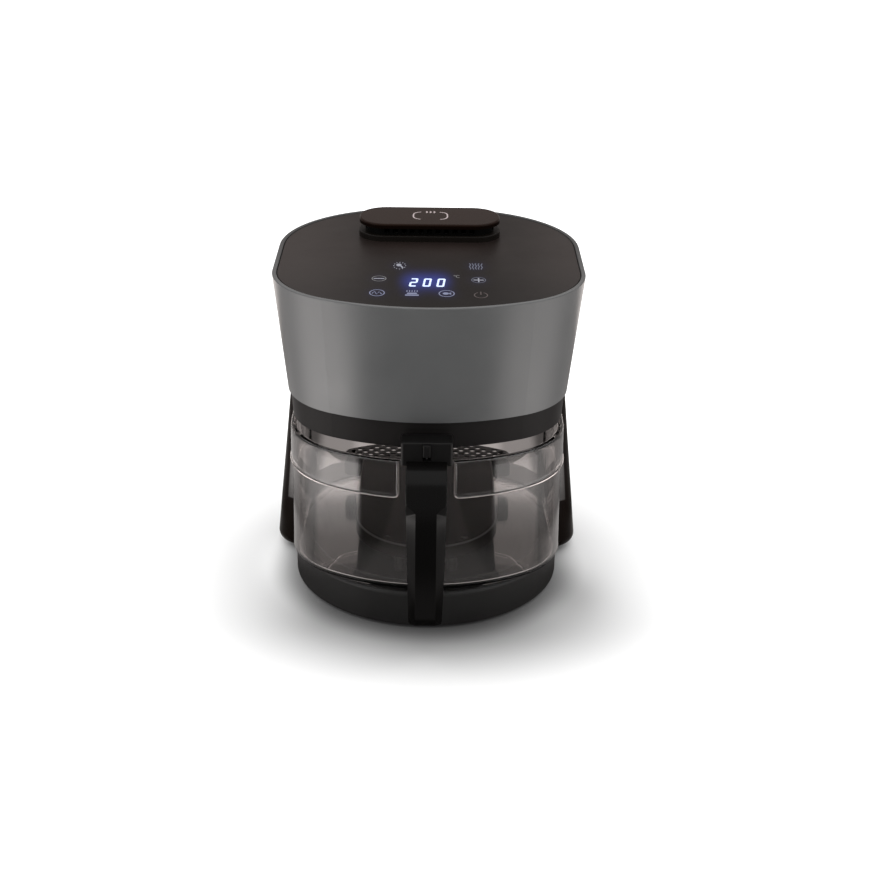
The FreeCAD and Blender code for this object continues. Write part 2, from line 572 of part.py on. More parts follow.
lead_path = bent_path(lead_pts, lead_bend)
lead = lead_path.makePipeShell([Part.Wire(Part.Circle(V(*lead_pts[0]), V(0, 1, 0), LEAD_R).toShape())], True, True)
print("lead: bends", lead_bend, "volume ratio %.4f" % (lead.Volume / (math.pi * LEAD_R ** 2 * lead_path.Length)))
out("supply_lead", lead)

# ---------------------------------------------------------------- base
base = cyl(BASE_R, 0, BASE_Y, BASE_LOW_Z, BASE_HIGH_Z)
base = safe_fillet(base, 5.0, [e for e in base.Edges if e.BoundBox.ZMin > BASE_HIGH_Z - 0.05 and e.BoundBox.ZLength < 0.1])
base = base.cut(cyl(BASE_R - 3.0, 0, BASE_Y, 0, BASE_HIGH_Z - 3.0))
foot_xy = [(-78, -84), (78, -84), (-84, 58), (84, 58)]
screw_xy = [(-96, -14), (96, -14), (0, -104), (0, 78)]
for bx, by in screw_xy:
    base = base.fuse(ring(5.0, 1.75, bx, by, 6.2, BASE_HIGH_Z - 2.0))
out("base_shell", base.removeSplitter())

plate = cyl(BASE_R - 3.4, 0, BASE_Y, 3.4, 6.0)
for bx, by in screw_xy:
    plate = plate.cut(cyl(2.0, bx, by, 0, 10))
for bx, by in foot_xy:
    plate = plate.cut(cyl(5.0, bx, by, 0, 10))
for k in range(-4, 5):
    plate = plate.cut(tablet(k * 9.0, -40, 4.0, 44, 1.9, 0, 10))
out("base_plate", plate)
out("base_screws", [pan_screw(bx, by, 3.4, down=False, r=1.7, length=12.0, head_r=3.4, head_h=1.9) for bx, by in screw_xy])
feet = []
for bx, by in foot_xy:
    f = cyl(11.0, bx, by, 0.0, 3.3).fuse(cyl(4.8, bx, by, 3.0, 7.0)).fuse(cyl(6.2, bx, by, 6.1, 7.6)).removeSplitter()
    feet.append(f)
for bx, by in [(-103, 87), (103, 87)]:
    feet.append(cyl(9.0, bx, by, 0.0, 3.9))
out("rubber_feet", feet)
seat = cyl(112.0, 0, -16.0, BASE_HIGH_Z + 0.05, POT_LOW_Z - 0.3).common(prism(pot(30, 12.0), 30))
seat = safe_fillet(seat, 1.0, [e for e in seat.Edges if e.BoundBox.ZMin > POT_LOW_Z - 0.35])
out("pot_seat", seat)

# ---------------------------------------------------------------- pot
g_out = loft(pot(POT_LOW_Z, 0), pot(POT_RIM_Z, POT_FLARE))
g_out = safe_fillet(g_out, 5.0, [e for e in g_out.Edges if e.BoundBox.ZMax < POT_LOW_Z + 0.05])
g_in = loft(pot(POT_LOW_Z + POT_FLOOR, POT_WALL), pot(POT_RIM_Z + 2, pot_step(POT_RIM_Z + 2) + POT_WALL))
g_in = safe_fillet(g_in, 2.6, [e for e in g_in.Edges if e.BoundBox.ZMax < POT_LOW_Z + POT_FLOOR + 0.05])
zc = POT_RIM_Z - COLLAR_H
collar = loft(pot(zc, pot_step(zc) - COLLAR_T), pot(POT_RIM_Z, pot_step(POT_RIM_Z) - COLLAR_T))
collar = collar.cut(box(-COLLAR_GAP, COLLAR_GAP, -200, -60, 100, 200))
glass = g_out.fuse(collar).cut(g_in)
hole_z = 158.0
for hx in (-9.0, 9.0):
    glass = glass.cut(Part.makeCylinder(2.6, 20, V(hx, -152, hole_z), V(0, 1, 0)))
out("glass_pot", glass.removeSplitter())

# handle: rubber pad on the glass, mount with the block, clip inside the rim, two-part grip
pad = box(-16, 16, -146.2, -138, 128, 169.6).cut(loft(pot(110, pot_step(110) - 0.15), pot(180, pot_step(180) - 0.15)))
for hx in (-9.0, 9.0):
    pad = pad.cut(Part.makeCylinder(2.1, 20, V(hx, -152, hole_z), V(0, 1, 0)))
out("handle_pad", max(pad.Solids, key=lambda s: s.Volume))

mount = box(-18, 18, -151.5, -146.3, 126, 173.5)
block = tablet(0, (BLOCK_Y0 + BLOCK_Y1) / 2, 2 * BLOCK_HALF_W, BLOCK_Y1 - BLOCK_Y0, 2.5, BLOCK_Z0, BLOCK_Z1)
mount = mount.fuse(block)
mount = safe_fillet(mount, 1.5, [e for e in mount.Edges if e.BoundBox.ZMin > BLOCK_Z1 - 0.05])
# bridge root under the block's front
mount = mount.fuse(polygon_x([(-158.0, 174.5), (-158.0, 162.5), (-151.5, 157.0), (-151.0, 157.0), (-151.0, 174.5)], -GRIP_HALF_W + 2, GRIP_HALF_W - 2))
mount = mount.removeSplitter()
# slider slot: narrow in front, wide behind
mount = mount.cut(box(-3.6, 3.6, -160, -154.5, 178.6, 194.5)).cut(box(-5.5, 5.5, -154.6, -149.8, 176.0, 194.5))
# pocket for the magnet
mount = mount.cut(Part.makeCylinder(4.1, 4.2, V(0, BLOCK_Y1 - 4.0, 186.5), V(0, 1, 0)))
for hx in (-9.0, 9.0):
    mount = mount.cut(Part.makeCylinder(1.75, 14, V(hx, -157, hole_z), V(0, 1, 0)))
out("handle_mount", mount)
out("sensor_magnet", Part.makeCylinder(4.0, 3.7, V(0, BLOCK_Y1 - 3.9, 186.5), V(0, 1, 0)))

clip = box(-15, 15, -142, -136.7, 148.5, 168.5)
inner_face = loft(pot(140, pot_step(140) + POT_WALL + 0.15), pot(180, pot_step(180) + POT_WALL + 0.15))
clip = clip.common(inner_face)
for hx in (-9.0, 9.0):
    clip = clip.cut(Part.makeCylinder(1.9, 20, V(hx, -152, hole_z), V(0, 1, 0)))
out("rim_clip", clip)
screws = []
for hx in (-9.0, 9.0):
    s = Part.makeCylinder(1.7, 13.6, V(hx, -150.2, hole_z), V(0, 1, 0))
    s = s.fuse(Part.makeCylinder(3.4, 1.8, V(hx, -136.65, hole_z), V(0, 1, 0))).removeSplitter()
    screws.append(s)
out("clip_screws", screws)

grip_side = [(-158.2, 178.0), (-164.0, 177.0), (-171.0, 174.0), (-177.5, 169.0), (-183.5, 161.0), (-188.0, 151.0), (-190.8, 140.0),
             (GRIP_FRONT_Y, 126.0), (GRIP_FRONT_Y, 70.0), (-191.2, 40.0), (-189.0, 32.0), (-185.0, 28.5), (-180.0, GRIP_LOW_Z),
             (-174.5, 29.0), (-171.2, 33.0), (-170.0, 42.0), (-169.2, 90.0), (-169.2, 122.0), (-167.6, 136.0),
             (-164.0, 148.0), (-158.2, 156.5)]
split = [(-158.0, 200.0), (-158.0, 169.0), (-166.0, 166.5), (-173.0, 160.0), (-178.5, 148.0), (-181.0, 130.0), (-181.0, 20.0),
         (-230.0, 20.0), (-230.0, 200.0)]
grip = polygon_x(grip_side, -GRIP_HALF_W, GRIP_HALF_W)
for sx in (-1, 1):
    wedge = Part.Face(Part.makePolygon([V(sx * GRIP_HALF_W, -260, 160), V(sx * (GRIP_HALF_W - 2.8), -260, 20), V(sx * 40, -260, 20),
                                        V(sx * 40, -260, 160), V(sx * GRIP_HALF_W, -260, 160)])).extrude(V(0, 200, 0))
    grip = grip.cut(wedge)
for sx in (-1, 1):
    cham = Part.Face(Part.makePolygon([V(sx * 9.2, GRIP_FRONT_Y - 0.6, 0), V(sx * 18.6, GRIP_FRONT_Y + 8.5, 0), V(sx * 40, GRIP_FRONT_Y + 8.5, 0),
                                       V(sx * 40, GRIP_FRONT_Y - 30, 0), V(sx * 9.2, GRIP_FRONT_Y - 30, 0),
                                       V(sx * 9.2, GRIP_FRONT_Y - 0.6, 0)])).extrude(V(0, 0, 150))
    grip = grip.cut(cham)
front_zone = polygon_x(split, -60, 60)
grip_front = grip.common(front_zone)
grip_back = grip.cut(polygon_x([(y + 0.1, z) if y > -200 else (y, z) for y, z in split], -60, 60))
hs = []
for hz in (62.0, 128.0):
    seat_y = -174.0
    s = Part.makeCylinder(1.7, 14.0, V(0, seat_y - 14.0, hz), V(0, 1, 0)).fuse(Part.makeCylinder(3.4, 2.0, V(0, seat_y, hz), V(0, 1, 0)))
    hs.append(s.removeSplitter())
    grip_back = grip_back.cut(Part.makeCylinder(1.9, 40, V(0, -200, hz), V(0, 1, 0))).cut(Part.makeCylinder(3.8, 30, V(0, seat_y, hz), V(0, 1, 0)))
    grip_front = grip_front.cut(Part.makeCylinder(1.75, 8.4, V(0, -188.4, hz), V(0, 1, 0)))
out("handle_grip", grip_front)
out("handle_inner", grip_back)
out("handle_screws", hs)

button = box(-3.2, 3.2, -160.6, -153.0, 182.5, 194.1)
button = safe_fillet(button, 0.9, [e for e in button.Edges if e.BoundBox.YMax < -160.5])
button = button.fuse(box(-5.0, 5.0, -154.2, -150.4, 182.5, 193.4)).removeSplitter()
out("release_button", button)
# zigzag wire spring under the slider
zig = [(-150.9 if k % 2 else -153.5, 176.5 + 1.1 * k) for k in range(6)]
spring = None
for (ya, za), (yb, zb) in zip(zig, zig[1:]):
    leaf = polygon_x([(ya, za - 0.2), (yb, zb - 0.2), (yb, zb + 0.2), (ya, za + 0.2)], -1.0, 1.0)
    spring = leaf if spring is None else spring.fuse(leaf)
spring = spring.removeSplitter()
out("button_spring", spring)

# ---------------------------------------------------------------- tray
def tray_plan(z, d):
    """Outline of the tray: round front, straight sides, a wider part along the bowed back, stepped inward by d."""
    w, wb, rb = TRAY_HALF_W - d, TRAY_BACK_HALF_W - d, TRAY_BACK_R - d
    cb = POT_BACK_Y - POT_ARC_R
    rc = 10.0 - d
    xc = TRAY_BACK_HALF_W - 10.0
    yc = cb + math.sqrt((TRAY_BACK_R - 10.0) ** 2 - xc ** 2)
    u = unit(xc, yc - cb)
    t = (rb * u[0], cb + rb * u[1])
    m = unit(1 + u[0], u[1])
    q = (xc + rc * m[0], yc + rc * m[1])
    # the step: a hollow corner at the side, then a round outer corner
    ys, h = TRAY_STEP_Y + d, math.sqrt(0.5)
    ri, ro = 6.0 + d, 8.0 - d
    hx, hy = TRAY_HALF_W + 6.0, TRAY_STEP_Y - 6.0
    ox, oy = TRAY_BACK_HALF_W - 8.0, TRAY_STEP_Y + 8.0
    right = [((w, TRAY_FRONT_C), None, (w, hy)),
             ((w, hy), (hx - ri * h, hy + ri * h), (hx, ys)),
             ((hx, ys), None, (ox, ys)),
             ((ox, ys), (ox + ro * h, oy - ro * h), (wb, oy)),
             ((wb, oy), None, (wb, yc)),
             ((wb, yc), q, t)]
    e = [arc((-w, TRAY_FRONT_C, z), (0, TRAY_FRONT_C - w, z), (w, TRAY_FRONT_C, z))]
    for a, b, c in right:
        e.append(arc((*a, z), (*b, z), (*c, z)) if b else seg((*a, z), (*c, z)))
    e.append(arc((t[0], t[1], z), (0, cb + rb, z), (-t[0], t[1], z)))
    for a, b, c in reversed(right):
        a, c = (-a[0], a[1], z), (-c[0], c[1], z)
        e.append(arc(c, (-b[0], b[1], z), a) if b else seg(c, a))
    return Part.Wire(e)


tray = prism(tray_plan(TRAY_SKIRT_Z, 0), TRAY_TOP_Z - TRAY_SKIRT_Z)
tray = safe_fillet(tray, 2.4, [e for e in tray.Edges if e.BoundBox.ZMin > TRAY_TOP_Z - 0.05])
inner = prism(tray_plan(TRAY_SKIRT_Z - 1, TRAY_T), TRAY_TOP_Z - TRAY_T - TRAY_SKIRT_Z + 1)
inner = safe_fillet(inner, 1.2, [e for e in inner.Edges if e.BoundBox.ZMin > TRAY_TOP_Z - TRAY_T - 0.05])
tray = tray.cut(inner)
# the turned-down rim is open along the back
tray = tray.cut(box(-74, 74, 66, 120, TRAY_SKIRT_Z - 1, TRAY_TOP_Z - 2.4))
hole_zone = Part.Face(tray_plan(TRAY_TOP_Z, 4.6))
leg_xy = [(-24, -111), (24, -111), (-42, 46), (42, 46), (-57, -16), (57, -16)]
holes = []
rows = [POT_BACK_Y - 18.1 - TRAY_PITCH_Y * k for k in range(6)] + [TRAY_FRONT_C - TRAY_HALF_W + 7.5 + TRAY_PITCH_Y * k for k in range(3)]
for row, y in enumerate(rows):
    for k in range(-8, 9):
        x = k * TRAY_PITCH_X + (TRAY_PITCH_X / 2 if row % 2 else 0.0)
        if hole_zone.isInside(V(x, y, TRAY_TOP_Z), 0.01, True) and all(math.hypot(x - lx, y - ly) > 7.7 for lx, ly in leg_xy):
            holes.append(Part.Wire(Part.Circle(V(x, y, TRAY_TOP_Z - TRAY_T - 0.5), V(0, 0, 1), TRAY_HOLE_R).toShape()))
print("tray holes", len(holes))
punch = Part.makeCompound([Part.Face(w).extrude(V(0, 0, TRAY_T + 1.0)) for w in holes])
tray = tray.cut(punch)
out("crisper_tray", tray)
legs = []
for fx, fy in leg_xy:
    f = cyl(4.6, fx, fy, POT_LOW_Z + POT_FLOOR + 0.2, TRAY_TOP_Z - TRAY_T - 0.05)
    f = safe_fillet(f, 1.5, [e for e in f.Edges if e.BoundBox.ZMax < POT_LOW_Z + POT_FLOOR + 0.3])
    legs.append(f)
out("tray_feet", legs)
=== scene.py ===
import bpy, bmesh, math, json
from mathutils import Vector, Matrix


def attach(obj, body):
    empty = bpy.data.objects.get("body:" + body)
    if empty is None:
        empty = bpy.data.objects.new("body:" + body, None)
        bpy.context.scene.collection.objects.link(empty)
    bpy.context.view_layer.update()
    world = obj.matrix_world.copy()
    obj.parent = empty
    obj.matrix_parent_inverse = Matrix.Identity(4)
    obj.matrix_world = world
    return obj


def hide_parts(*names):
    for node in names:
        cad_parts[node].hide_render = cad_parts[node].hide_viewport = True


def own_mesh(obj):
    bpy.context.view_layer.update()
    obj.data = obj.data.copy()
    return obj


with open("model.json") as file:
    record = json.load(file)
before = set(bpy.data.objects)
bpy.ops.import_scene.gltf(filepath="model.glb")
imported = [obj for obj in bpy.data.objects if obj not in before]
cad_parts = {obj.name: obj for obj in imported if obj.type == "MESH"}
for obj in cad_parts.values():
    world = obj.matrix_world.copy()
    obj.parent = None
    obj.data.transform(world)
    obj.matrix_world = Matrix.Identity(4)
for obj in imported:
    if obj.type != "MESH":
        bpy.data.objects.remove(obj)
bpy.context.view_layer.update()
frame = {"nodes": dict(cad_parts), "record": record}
NODES = frame["nodes"]
SC = bpy.context.scene
SHIFT = 14.5                      # the row frame's y is the drawing's y plus this, in mm


def P(x, y, z):
    """Drawing millimetres to the row frame in metres."""
    return (x * 0.001, (y + SHIFT) * 0.001, z * 0.001)


# ------------------------------------------------------------------ materials
def new_mat(name):
    m = bpy.data.materials.new(name)
    m.use_nodes = True
    nt = m.node_tree
    nt.nodes.clear()
    o = nt.nodes.new("ShaderNodeOutputMaterial")
    b = nt.nodes.new("ShaderNodeBsdfPrincipled")
    nt.links.new(b.outputs[0], o.inputs[0])
    return m, nt, b


def coords(nt, scale=(1, 1, 1)):
    c = nt.nodes.new("ShaderNodeTexCoord")
    mp = nt.nodes.new("ShaderNodeMapping")
    mp.inputs["Scale"].default_value = scale
    nt.links.new(c.outputs["Object"], mp.inputs["Vector"])
    return mp.outputs["Vector"]


def noise(nt, vec, scale, detail=3.0, rough=0.55):
    n = nt.nodes.new("ShaderNodeTexNoise")
    n.inputs["Scale"].default_value = scale
    n.inputs["Detail"].default_value = detail
    n.inputs["Roughness"].default_value = rough
    nt.links.new(vec, n.inputs["Vector"])
    return n.outputs["Fac"]


def ramp(nt, fac, c0, c1, p0=0.3, p1=0.7):
    r = nt.nodes.new("ShaderNodeValToRGB")
    r.color_ramp.elements[0].position = p0
    r.color_ramp.elements[1].position = p1
    r.color_ramp.elements[0].color = (*c0, 1)
    r.color_ramp.elements[1].color = (*c1, 1)
    nt.links.new(fac, r.inputs["Fac"])
    return r.outputs["Color"]


def span(nt, fac, lo, hi, a=0.3, b=0.7):
    m = nt.nodes.new("ShaderNodeMapRange")
    m.inputs["From Min"].default_value = a
    m.inputs["From Max"].default_value = b
    m.inputs["To Min"].default_value = lo
    m.inputs["To Max"].default_value = hi
    nt.links.new(fac, m.inputs["Value"])
    return m.outputs["Result"]


def bump(nt, b, height, strength, dist):
    n = nt.nodes.new("ShaderNodeBump")
    n.inputs["Strength"].default_value = strength
    n.inputs["Distance"].default_value = dist
    nt.links.new(height, n.inputs["Height"])
    nt.links.new(n.outputs["Normal"], b.inputs["Normal"])


def tint(c, k):
    return tuple(max(0.0, x * k) for x in c)


def moulded(name, base, rough, var=0.10, rvar=0.05, fine=2600.0, cloud=28.0, grain=0.10, depth=0.00006, metallic=0.0,
            spec=0.5, coat=0.0, coat_rough=0.08):
    """Moulded or painted skin: fine grain in bump and roughness, and a faint cloud in its colour."""
    m, nt, b = new_mat(name)
    v = coords(nt)
    f, c = noise(nt, v, fine, 2.0), noise(nt, v, cloud, 4.0)
    mix = nt.nodes.new("ShaderNodeMath")
    mix.operation = "MULTIPLY_ADD"
    mix.inputs[1].default_value = 0.6
    nt.links.new(f, mix.inputs[0])
    half = nt.nodes.new("ShaderNodeMath")
    half.operation = "MULTIPLY"
    half.inputs[1].default_value = 0.4
    nt.links.new(c, half.inputs[0])
    nt.links.new(half.outputs[0], mix.inputs[2])
    nt.links.new(ramp(nt, mix.outputs[0], tint(base, 1 - var), tint(base, 1 + var)), b.inputs["Base Color"])
    nt.links.new(span(nt, c, rough - rvar, rough + rvar), b.inputs["Roughness"])
    bump(nt, b, f, grain, depth)
    b.inputs["Metallic"].default_value = metallic
    b.inputs["Specular IOR Level"].default_value = spec
    b.inputs["Coat Weight"].default_value = coat
    b.inputs["Coat Roughness"].default_value = coat_rough
    return m


def brushed(name, base, rough, along=(1, 1, 1), scale=900.0, metallic=1.0, var=0.12):
    """Sheet or drawn metal with fine lines."""
    m, nt, b = new_mat(name)
    v = coords(nt, along)
    f = noise(nt, v, scale, 3.0)
    c = noise(nt, coords(nt), 35.0, 3.0)
    nt.links.new(ramp(nt, f, tint(base, 1 - var), tint(base, 1 + var)), b.inputs["Base Color"])
    nt.links.new(span(nt, c, rough - 0.06, rough + 0.08), b.inputs["Roughness"])
    bump(nt, b, f, 0.10, 0.00004)
    b.inputs["Metallic"].default_value = metallic
    return m


def speckled(name, base, fleck, rough, scale=1500.0, metallic=0.0, spec=0.5):
    """Non-stick coat: dark ground with tiny paler flecks."""
    m, nt, b = new_mat(name)
    v = coords(nt)
    vo = nt.nodes.new("ShaderNodeTexVoronoi")
    vo.inputs["Scale"].default_value = scale * 0.4
    nt.links.new(v, vo.inputs["Vector"])
    nt.links.new(ramp(nt, vo.outputs["Distance"], fleck, base, 0.05, 0.22), b.inputs["Base Color"])
    f = noise(nt, v, scale, 3.0)
    nt.links.new(span(nt, f, rough - 0.05, rough + 0.08), b.inputs["Roughness"])
    bump(nt, b, f, 0.06, 0.00003)
    b.inputs["Metallic"].default_value = metallic
    b.inputs["Specular IOR Level"].default_value = spec
    return m


def wound(name, base, rough):
    """Lacquered winding: close turns."""
    m, nt, b = new_mat(name)
    w = nt.nodes.new("ShaderNodeTexWave")
    w.inputs["Scale"].default_value = 260.0
    w.inputs["Distortion"].default_value = 1.5
    w.bands_direction = "Z"
    nt.links.new(coords(nt), w.inputs["Vector"])
    nt.links.new(ramp(nt, w.outputs["Fac"], tint(base, 0.55), base, 0.1, 0.8), b.inputs["Base Color"])
    nt.links.new(span(nt, w.outputs["Fac"], rough + 0.1, rough - 0.05, 0.0, 1.0), b.inputs["Roughness"])
    bump(nt, b, w.outputs["Fac"], 0.5, 0.0003)
    b.inputs["Metallic"].default_value = 0.7
    return m


def board(name, base, rough):
    """Circuit board: solder mask with faint tracks."""
    m, nt, b = new_mat(name)
    br = nt.nodes.new("ShaderNodeTexBrick")
    br.inputs["Scale"].default_value = 120.0
    br.inputs["Mortar Size"].default_value = 0.03
    br.inputs["Color1"].default_value = (*base, 1)
    br.inputs["Color2"].default_value = (*tint(base, 0.8), 1)
    br.inputs["Mortar"].default_value = (*tint(base, 1.9), 1)
    nt.links.new(coords(nt), br.inputs["Vector"])
    nt.links.new(br.outputs["Color"], b.inputs["Base Color"])
    nt.links.new(span(nt, noise(nt, coords(nt), 300.0), rough - 0.05, rough + 0.1), b.inputs["Roughness"])
    bump(nt, b, br.outputs["Fac"], 0.2, 0.0001)
    return m


def glass(name, colour, ior, cloud):
    """Clear glass with a faint cloud in its tint."""
    m, nt, b = new_mat(name)
    b.inputs["Transmission Weight"].default_value = 1.0
    b.inputs["IOR"].default_value = ior
    b.inputs["Roughness"].default_value = 0.0
    nt.links.new(ramp(nt, noise(nt, coords(nt, (1, 1, 3)), 14.0, 3.0), tint(colour, 1 - cloud), tint(colour, 1 + cloud)), b.inputs["Base Color"])
    return m


def glow(name, colour, strength, ground=(0.02, 0.02, 0.02)):
    """Lit mark behind a panel, a little uneven."""
    m, nt, b = new_mat(name)
    b.inputs["Base Color"].default_value = (*ground, 1)
    b.inputs["Roughness"].default_value = 0.35
    b.inputs["Emission Strength"].default_value = strength
    nt.links.new(ramp(nt, noise(nt, coords(nt), 500.0, 2.0), tint(colour, 0.85), colour), b.inputs["Emission Color"])
    return m


M = {}
M["shell"] = moulded("head_satin_grey", (0.0690, 0.0700, 0.0706), 0.34, var=0.08, rvar=0.03, fine=5200.0, grain=0.10, depth=0.00004, spec=0.52)
M["panel"] = moulded("panel_dark", (0.0175, 0.0123, 0.0108), 0.38, var=0.10, rvar=0.03, fine=3800.0, grain=0.06, depth=0.00003, spec=0.16)
M["satin"] = moulded("black_satin", (0.0085, 0.0080, 0.0080), 0.40, var=0.14, rvar=0.05, fine=3400.0, grain=0.14, depth=0.00005, spec=0.40)
M["foot"] = moulded("base_black", (0.0150, 0.0144, 0.0142), 0.42, var=0.14, rvar=0.05, fine=3400.0, grain=0.14, depth=0.00005, spec=0.26)
M["plinth"] = moulded("plinth_black", (0.0065, 0.0050, 0.0040), 0.45, var=0.14, rvar=0.05, fine=3400.0, grain=0.10, depth=0.00004, spec=0.10)
# painted shade: the vent neck is black, and is made darker still for the shade under the cap
M["vent"] = moulded("vent_black_painted_shade", (0.0010, 0.0009, 0.0007), 0.45, var=0.14, rvar=0.05, fine=3400.0, grain=0.10, depth=0.00004, spec=0.08)
M["gloss"] = moulded("black_gloss", (0.0026, 0.0024, 0.0023), 0.20, var=0.10, rvar=0.03, fine=1800.0, grain=0.03, depth=0.00002, spec=0.09)
M["block"] = moulded("block_black", (0.0050, 0.0047, 0.0046), 0.40, var=0.12, rvar=0.04, fine=3000.0, grain=0.10, depth=0.00004, spec=0.14)
M["casing"] = moulded("casing_black", (0.0105, 0.0094, 0.0092), 0.42, var=0.14, rvar=0.05, fine=3400.0, grain=0.14, depth=0.00005, spec=0.06)
M["arm"] = moulded("rear_gloss", (0.0044, 0.0024, 0.0016), 0.20, var=0.10, rvar=0.03, fine=1800.0, grain=0.03, depth=0.00002, spec=0.06)
M["cap"] = moulded("cap_gloss", (0.0135, 0.0068, 0.0048), 0.20, var=0.10, rvar=0.03, fine=2200.0, grain=0.04, depth=0.00002, spec=0.04)
M["glass"] = glass("pot_glass", (0.940, 0.918, 0.912), 1.47, 0.006)
M["tray"] = speckled("tray_coat", (0.0066, 0.0050, 0.0044), (0.010, 0.008, 0.007), 0.42, spec=0.06)
M["silicone"] = moulded("silicone", (0.016, 0.016, 0.016), 0.62, var=0.12, fine=2200.0, grain=0.12, depth=0.00006)
M["rubber"] = moulded("foot_rubber", (0.018, 0.018, 0.018), 0.78, var=0.2, fine=1600.0, grain=0.25, depth=0.0001)
M["steel"] = brushed("steel", (0.55, 0.55, 0.55), 0.30, (1, 1, 8))
M["hood"] = brushed("aluminised", (0.62, 0.62, 0.61), 0.34, (1, 1, 1), 450.0)
M["element"] = moulded("element_tube", (0.06, 0.052, 0.048), 0.5, var=0.3, fine=900.0, metallic=0.6, grain=0.2)
M["fan"] = brushed("fan_sheet", (0.62, 0.62, 0.62), 0.32, (8, 1, 1))
M["motor"] = brushed("motor_plate", (0.30, 0.30, 0.31), 0.38, (1, 1, 6), 700.0, 0.9)
M["copper"] = wound("winding", (0.60, 0.26, 0.11), 0.35)
M["board"] = board("board_green", (0.020, 0.10, 0.045), 0.42)
M["display"] = moulded("display_block", (0.012, 0.012, 0.014), 0.25, fine=1500.0, grain=0.04)
M["spring"] = brushed("spring_wire", (0.62, 0.62, 0.62), 0.22, (1, 1, 1), 1200.0)
M["magnet"] = moulded("ferrite", (0.05, 0.05, 0.052), 0.5, var=0.3, fine=1400.0, metallic=0.4, grain=0.3)
M["lead"] = moulded("lead_jacket", (0.014, 0.014, 0.014), 0.5, var=0.12, fine=1200.0, grain=0.1)

# light that spills round the digits, seen in the panel itself
nt = M["panel"].node_tree
pb = [n for n in nt.nodes if n.type == "BSDF_PRINCIPLED"][0]
tc = nt.nodes.new("ShaderNodeTexCoord")
sp3 = nt.nodes.new("ShaderNodeSeparateXYZ")
nt.links.new(tc.outputs["Object"], sp3.inputs[0])


def rise(v, a, b):
    n = nt.nodes.new("ShaderNodeMapRange")
    n.interpolation_type = "SMOOTHSTEP"
    n.inputs["From Min"].default_value = a
    n.inputs["From Max"].default_value = b
    nt.links.new(v, n.inputs["Value"])
    return n.outputs["Result"]


def times(a, b):
    n = nt.nodes.new("ShaderNodeMath")
    n.operation = "MULTIPLY"
    nt.links.new(a, n.inputs[0])
    if isinstance(b, float):
        n.inputs[1].default_value = b
    else:
        nt.links.new(b, n.inputs[1])
    return n.outputs[0]


def bell(cx, cy, rx, ry, power, k):
    """Bell-shaped bump about a point, in drawing millimetres: the glow round the panel's marks, and masks of painted
    shade on the panel and of painted shadow on the floor.
    """
    out = None
    for axis, c, r, e in (("X", cx * 0.001, rx * 0.001, power), ("Y", (cy + SHIFT) * 0.001, ry * 0.001, 2.0)):
        a = nt.nodes.new("ShaderNodeMath")
        a.operation = "SUBTRACT"
        nt.links.new(sp3.outputs[axis], a.inputs[0])
        a.inputs[1].default_value = c
        b = nt.nodes.new("ShaderNodeMath")
        b.operation = "ABSOLUTE"
        nt.links.new(times(a.outputs[0], 1.0 / r), b.inputs[0])
        d = nt.nodes.new("ShaderNodeMath")
        d.operation = "POWER"
        nt.links.new(b.outputs[0], d.inputs[0])
        d.inputs[1].default_value = e
        g = nt.nodes.new("ShaderNodeMath")
        g.operation = "EXPONENT"
        nt.links.new(times(d.outputs[0], -1.0), g.inputs[0])
        out = g.outputs[0] if out is None else times(out, g.outputs[0])
    return times(out, k)


total = bell(-2.5, -76.5, 20.0, 20.5, 4.0, 1.06)
for hx, hy, k in ((-44.3, -108.4, 0.09), (-14.2, -108.4, 0.13), (15.6, -108.4, 0.11), (-43.8, -70.5, 0.05), (43.9, -71.8, 0.07), (-26.4, -34.3, 0.07), (42.2, -34.2, 0.09)):
    plus = nt.nodes.new("ShaderNodeMath")
    plus.operation = "ADD"
    nt.links.new(total, plus.inputs[0])
    nt.links.new(bell(hx, hy, 8.0, 12.0, 2.0, k), plus.inputs[1])
    total = plus.outputs[0]
pb.inputs["Emission Color"].default_value = (0.020, 0.034, 0.21, 1)
nt.links.new(total, pb.inputs["Emission Strength"])


def less(v, k, top=1.0):
    """top - k * v"""
    n = nt.nodes.new("ShaderNodeMath")
    n.operation = "MULTIPLY_ADD"
    nt.links.new(v, n.inputs[0])
    n.inputs[1].default_value = -k
    n.inputs[2].default_value = top
    return n.outputs[0]


def paint_shade(b, k, spec):
    """Painted shade: scale the colour and the gloss of a skin by k."""
    n = nt.nodes.new("ShaderNodeVectorMath")
    n.operation = "SCALE"
    nt.links.new(b.inputs["Base Color"].links[0].from_socket, n.inputs[0])
    nt.links.new(k, n.inputs["Scale"])
    nt.links.new(n.outputs[0], b.inputs["Base Color"])
    nt.links.new(times(k, spec), b.inputs["Specular IOR Level"])


# painted shade: the panel's colour and gloss are dimmed in its middle and towards the front, less so just in front of
# the vent cap
middle = bell(13.5, -18.0, 100.0, 4000.0, 3.3, 1.0)
vent_zone = bell(0.0, 25.0, 62.0, 38.0, 4.0, 1.0)
fore = less(rise(sp3.outputs["Y"], -0.020 + 0.0145, -0.128 + 0.0145), 0.26)
paint_shade(pb, times(less(times(middle, less(vent_zone, 1.0)), 0.60), fore), 0.16)

# painted shade: the head's rim is darker and less glossy towards the back
nt = M["shell"].node_tree
hb = [n for n in nt.nodes if n.type == "BSDF_PRINCIPLED"][0]
tc = nt.nodes.new("ShaderNodeTexCoord")
sp3 = nt.nodes.new("ShaderNodeSeparateXYZ")
nt.links.new(tc.outputs["Object"], sp3.inputs[0])
rim_painted_shade = times(rise(sp3.outputs["Z"], 0.3118, 0.3138), rise(sp3.outputs["Y"], -0.125 + 0.0145, 0.050 + 0.0145))
paint_shade(hb, less(rim_painted_shade, 0.46), 0.52)
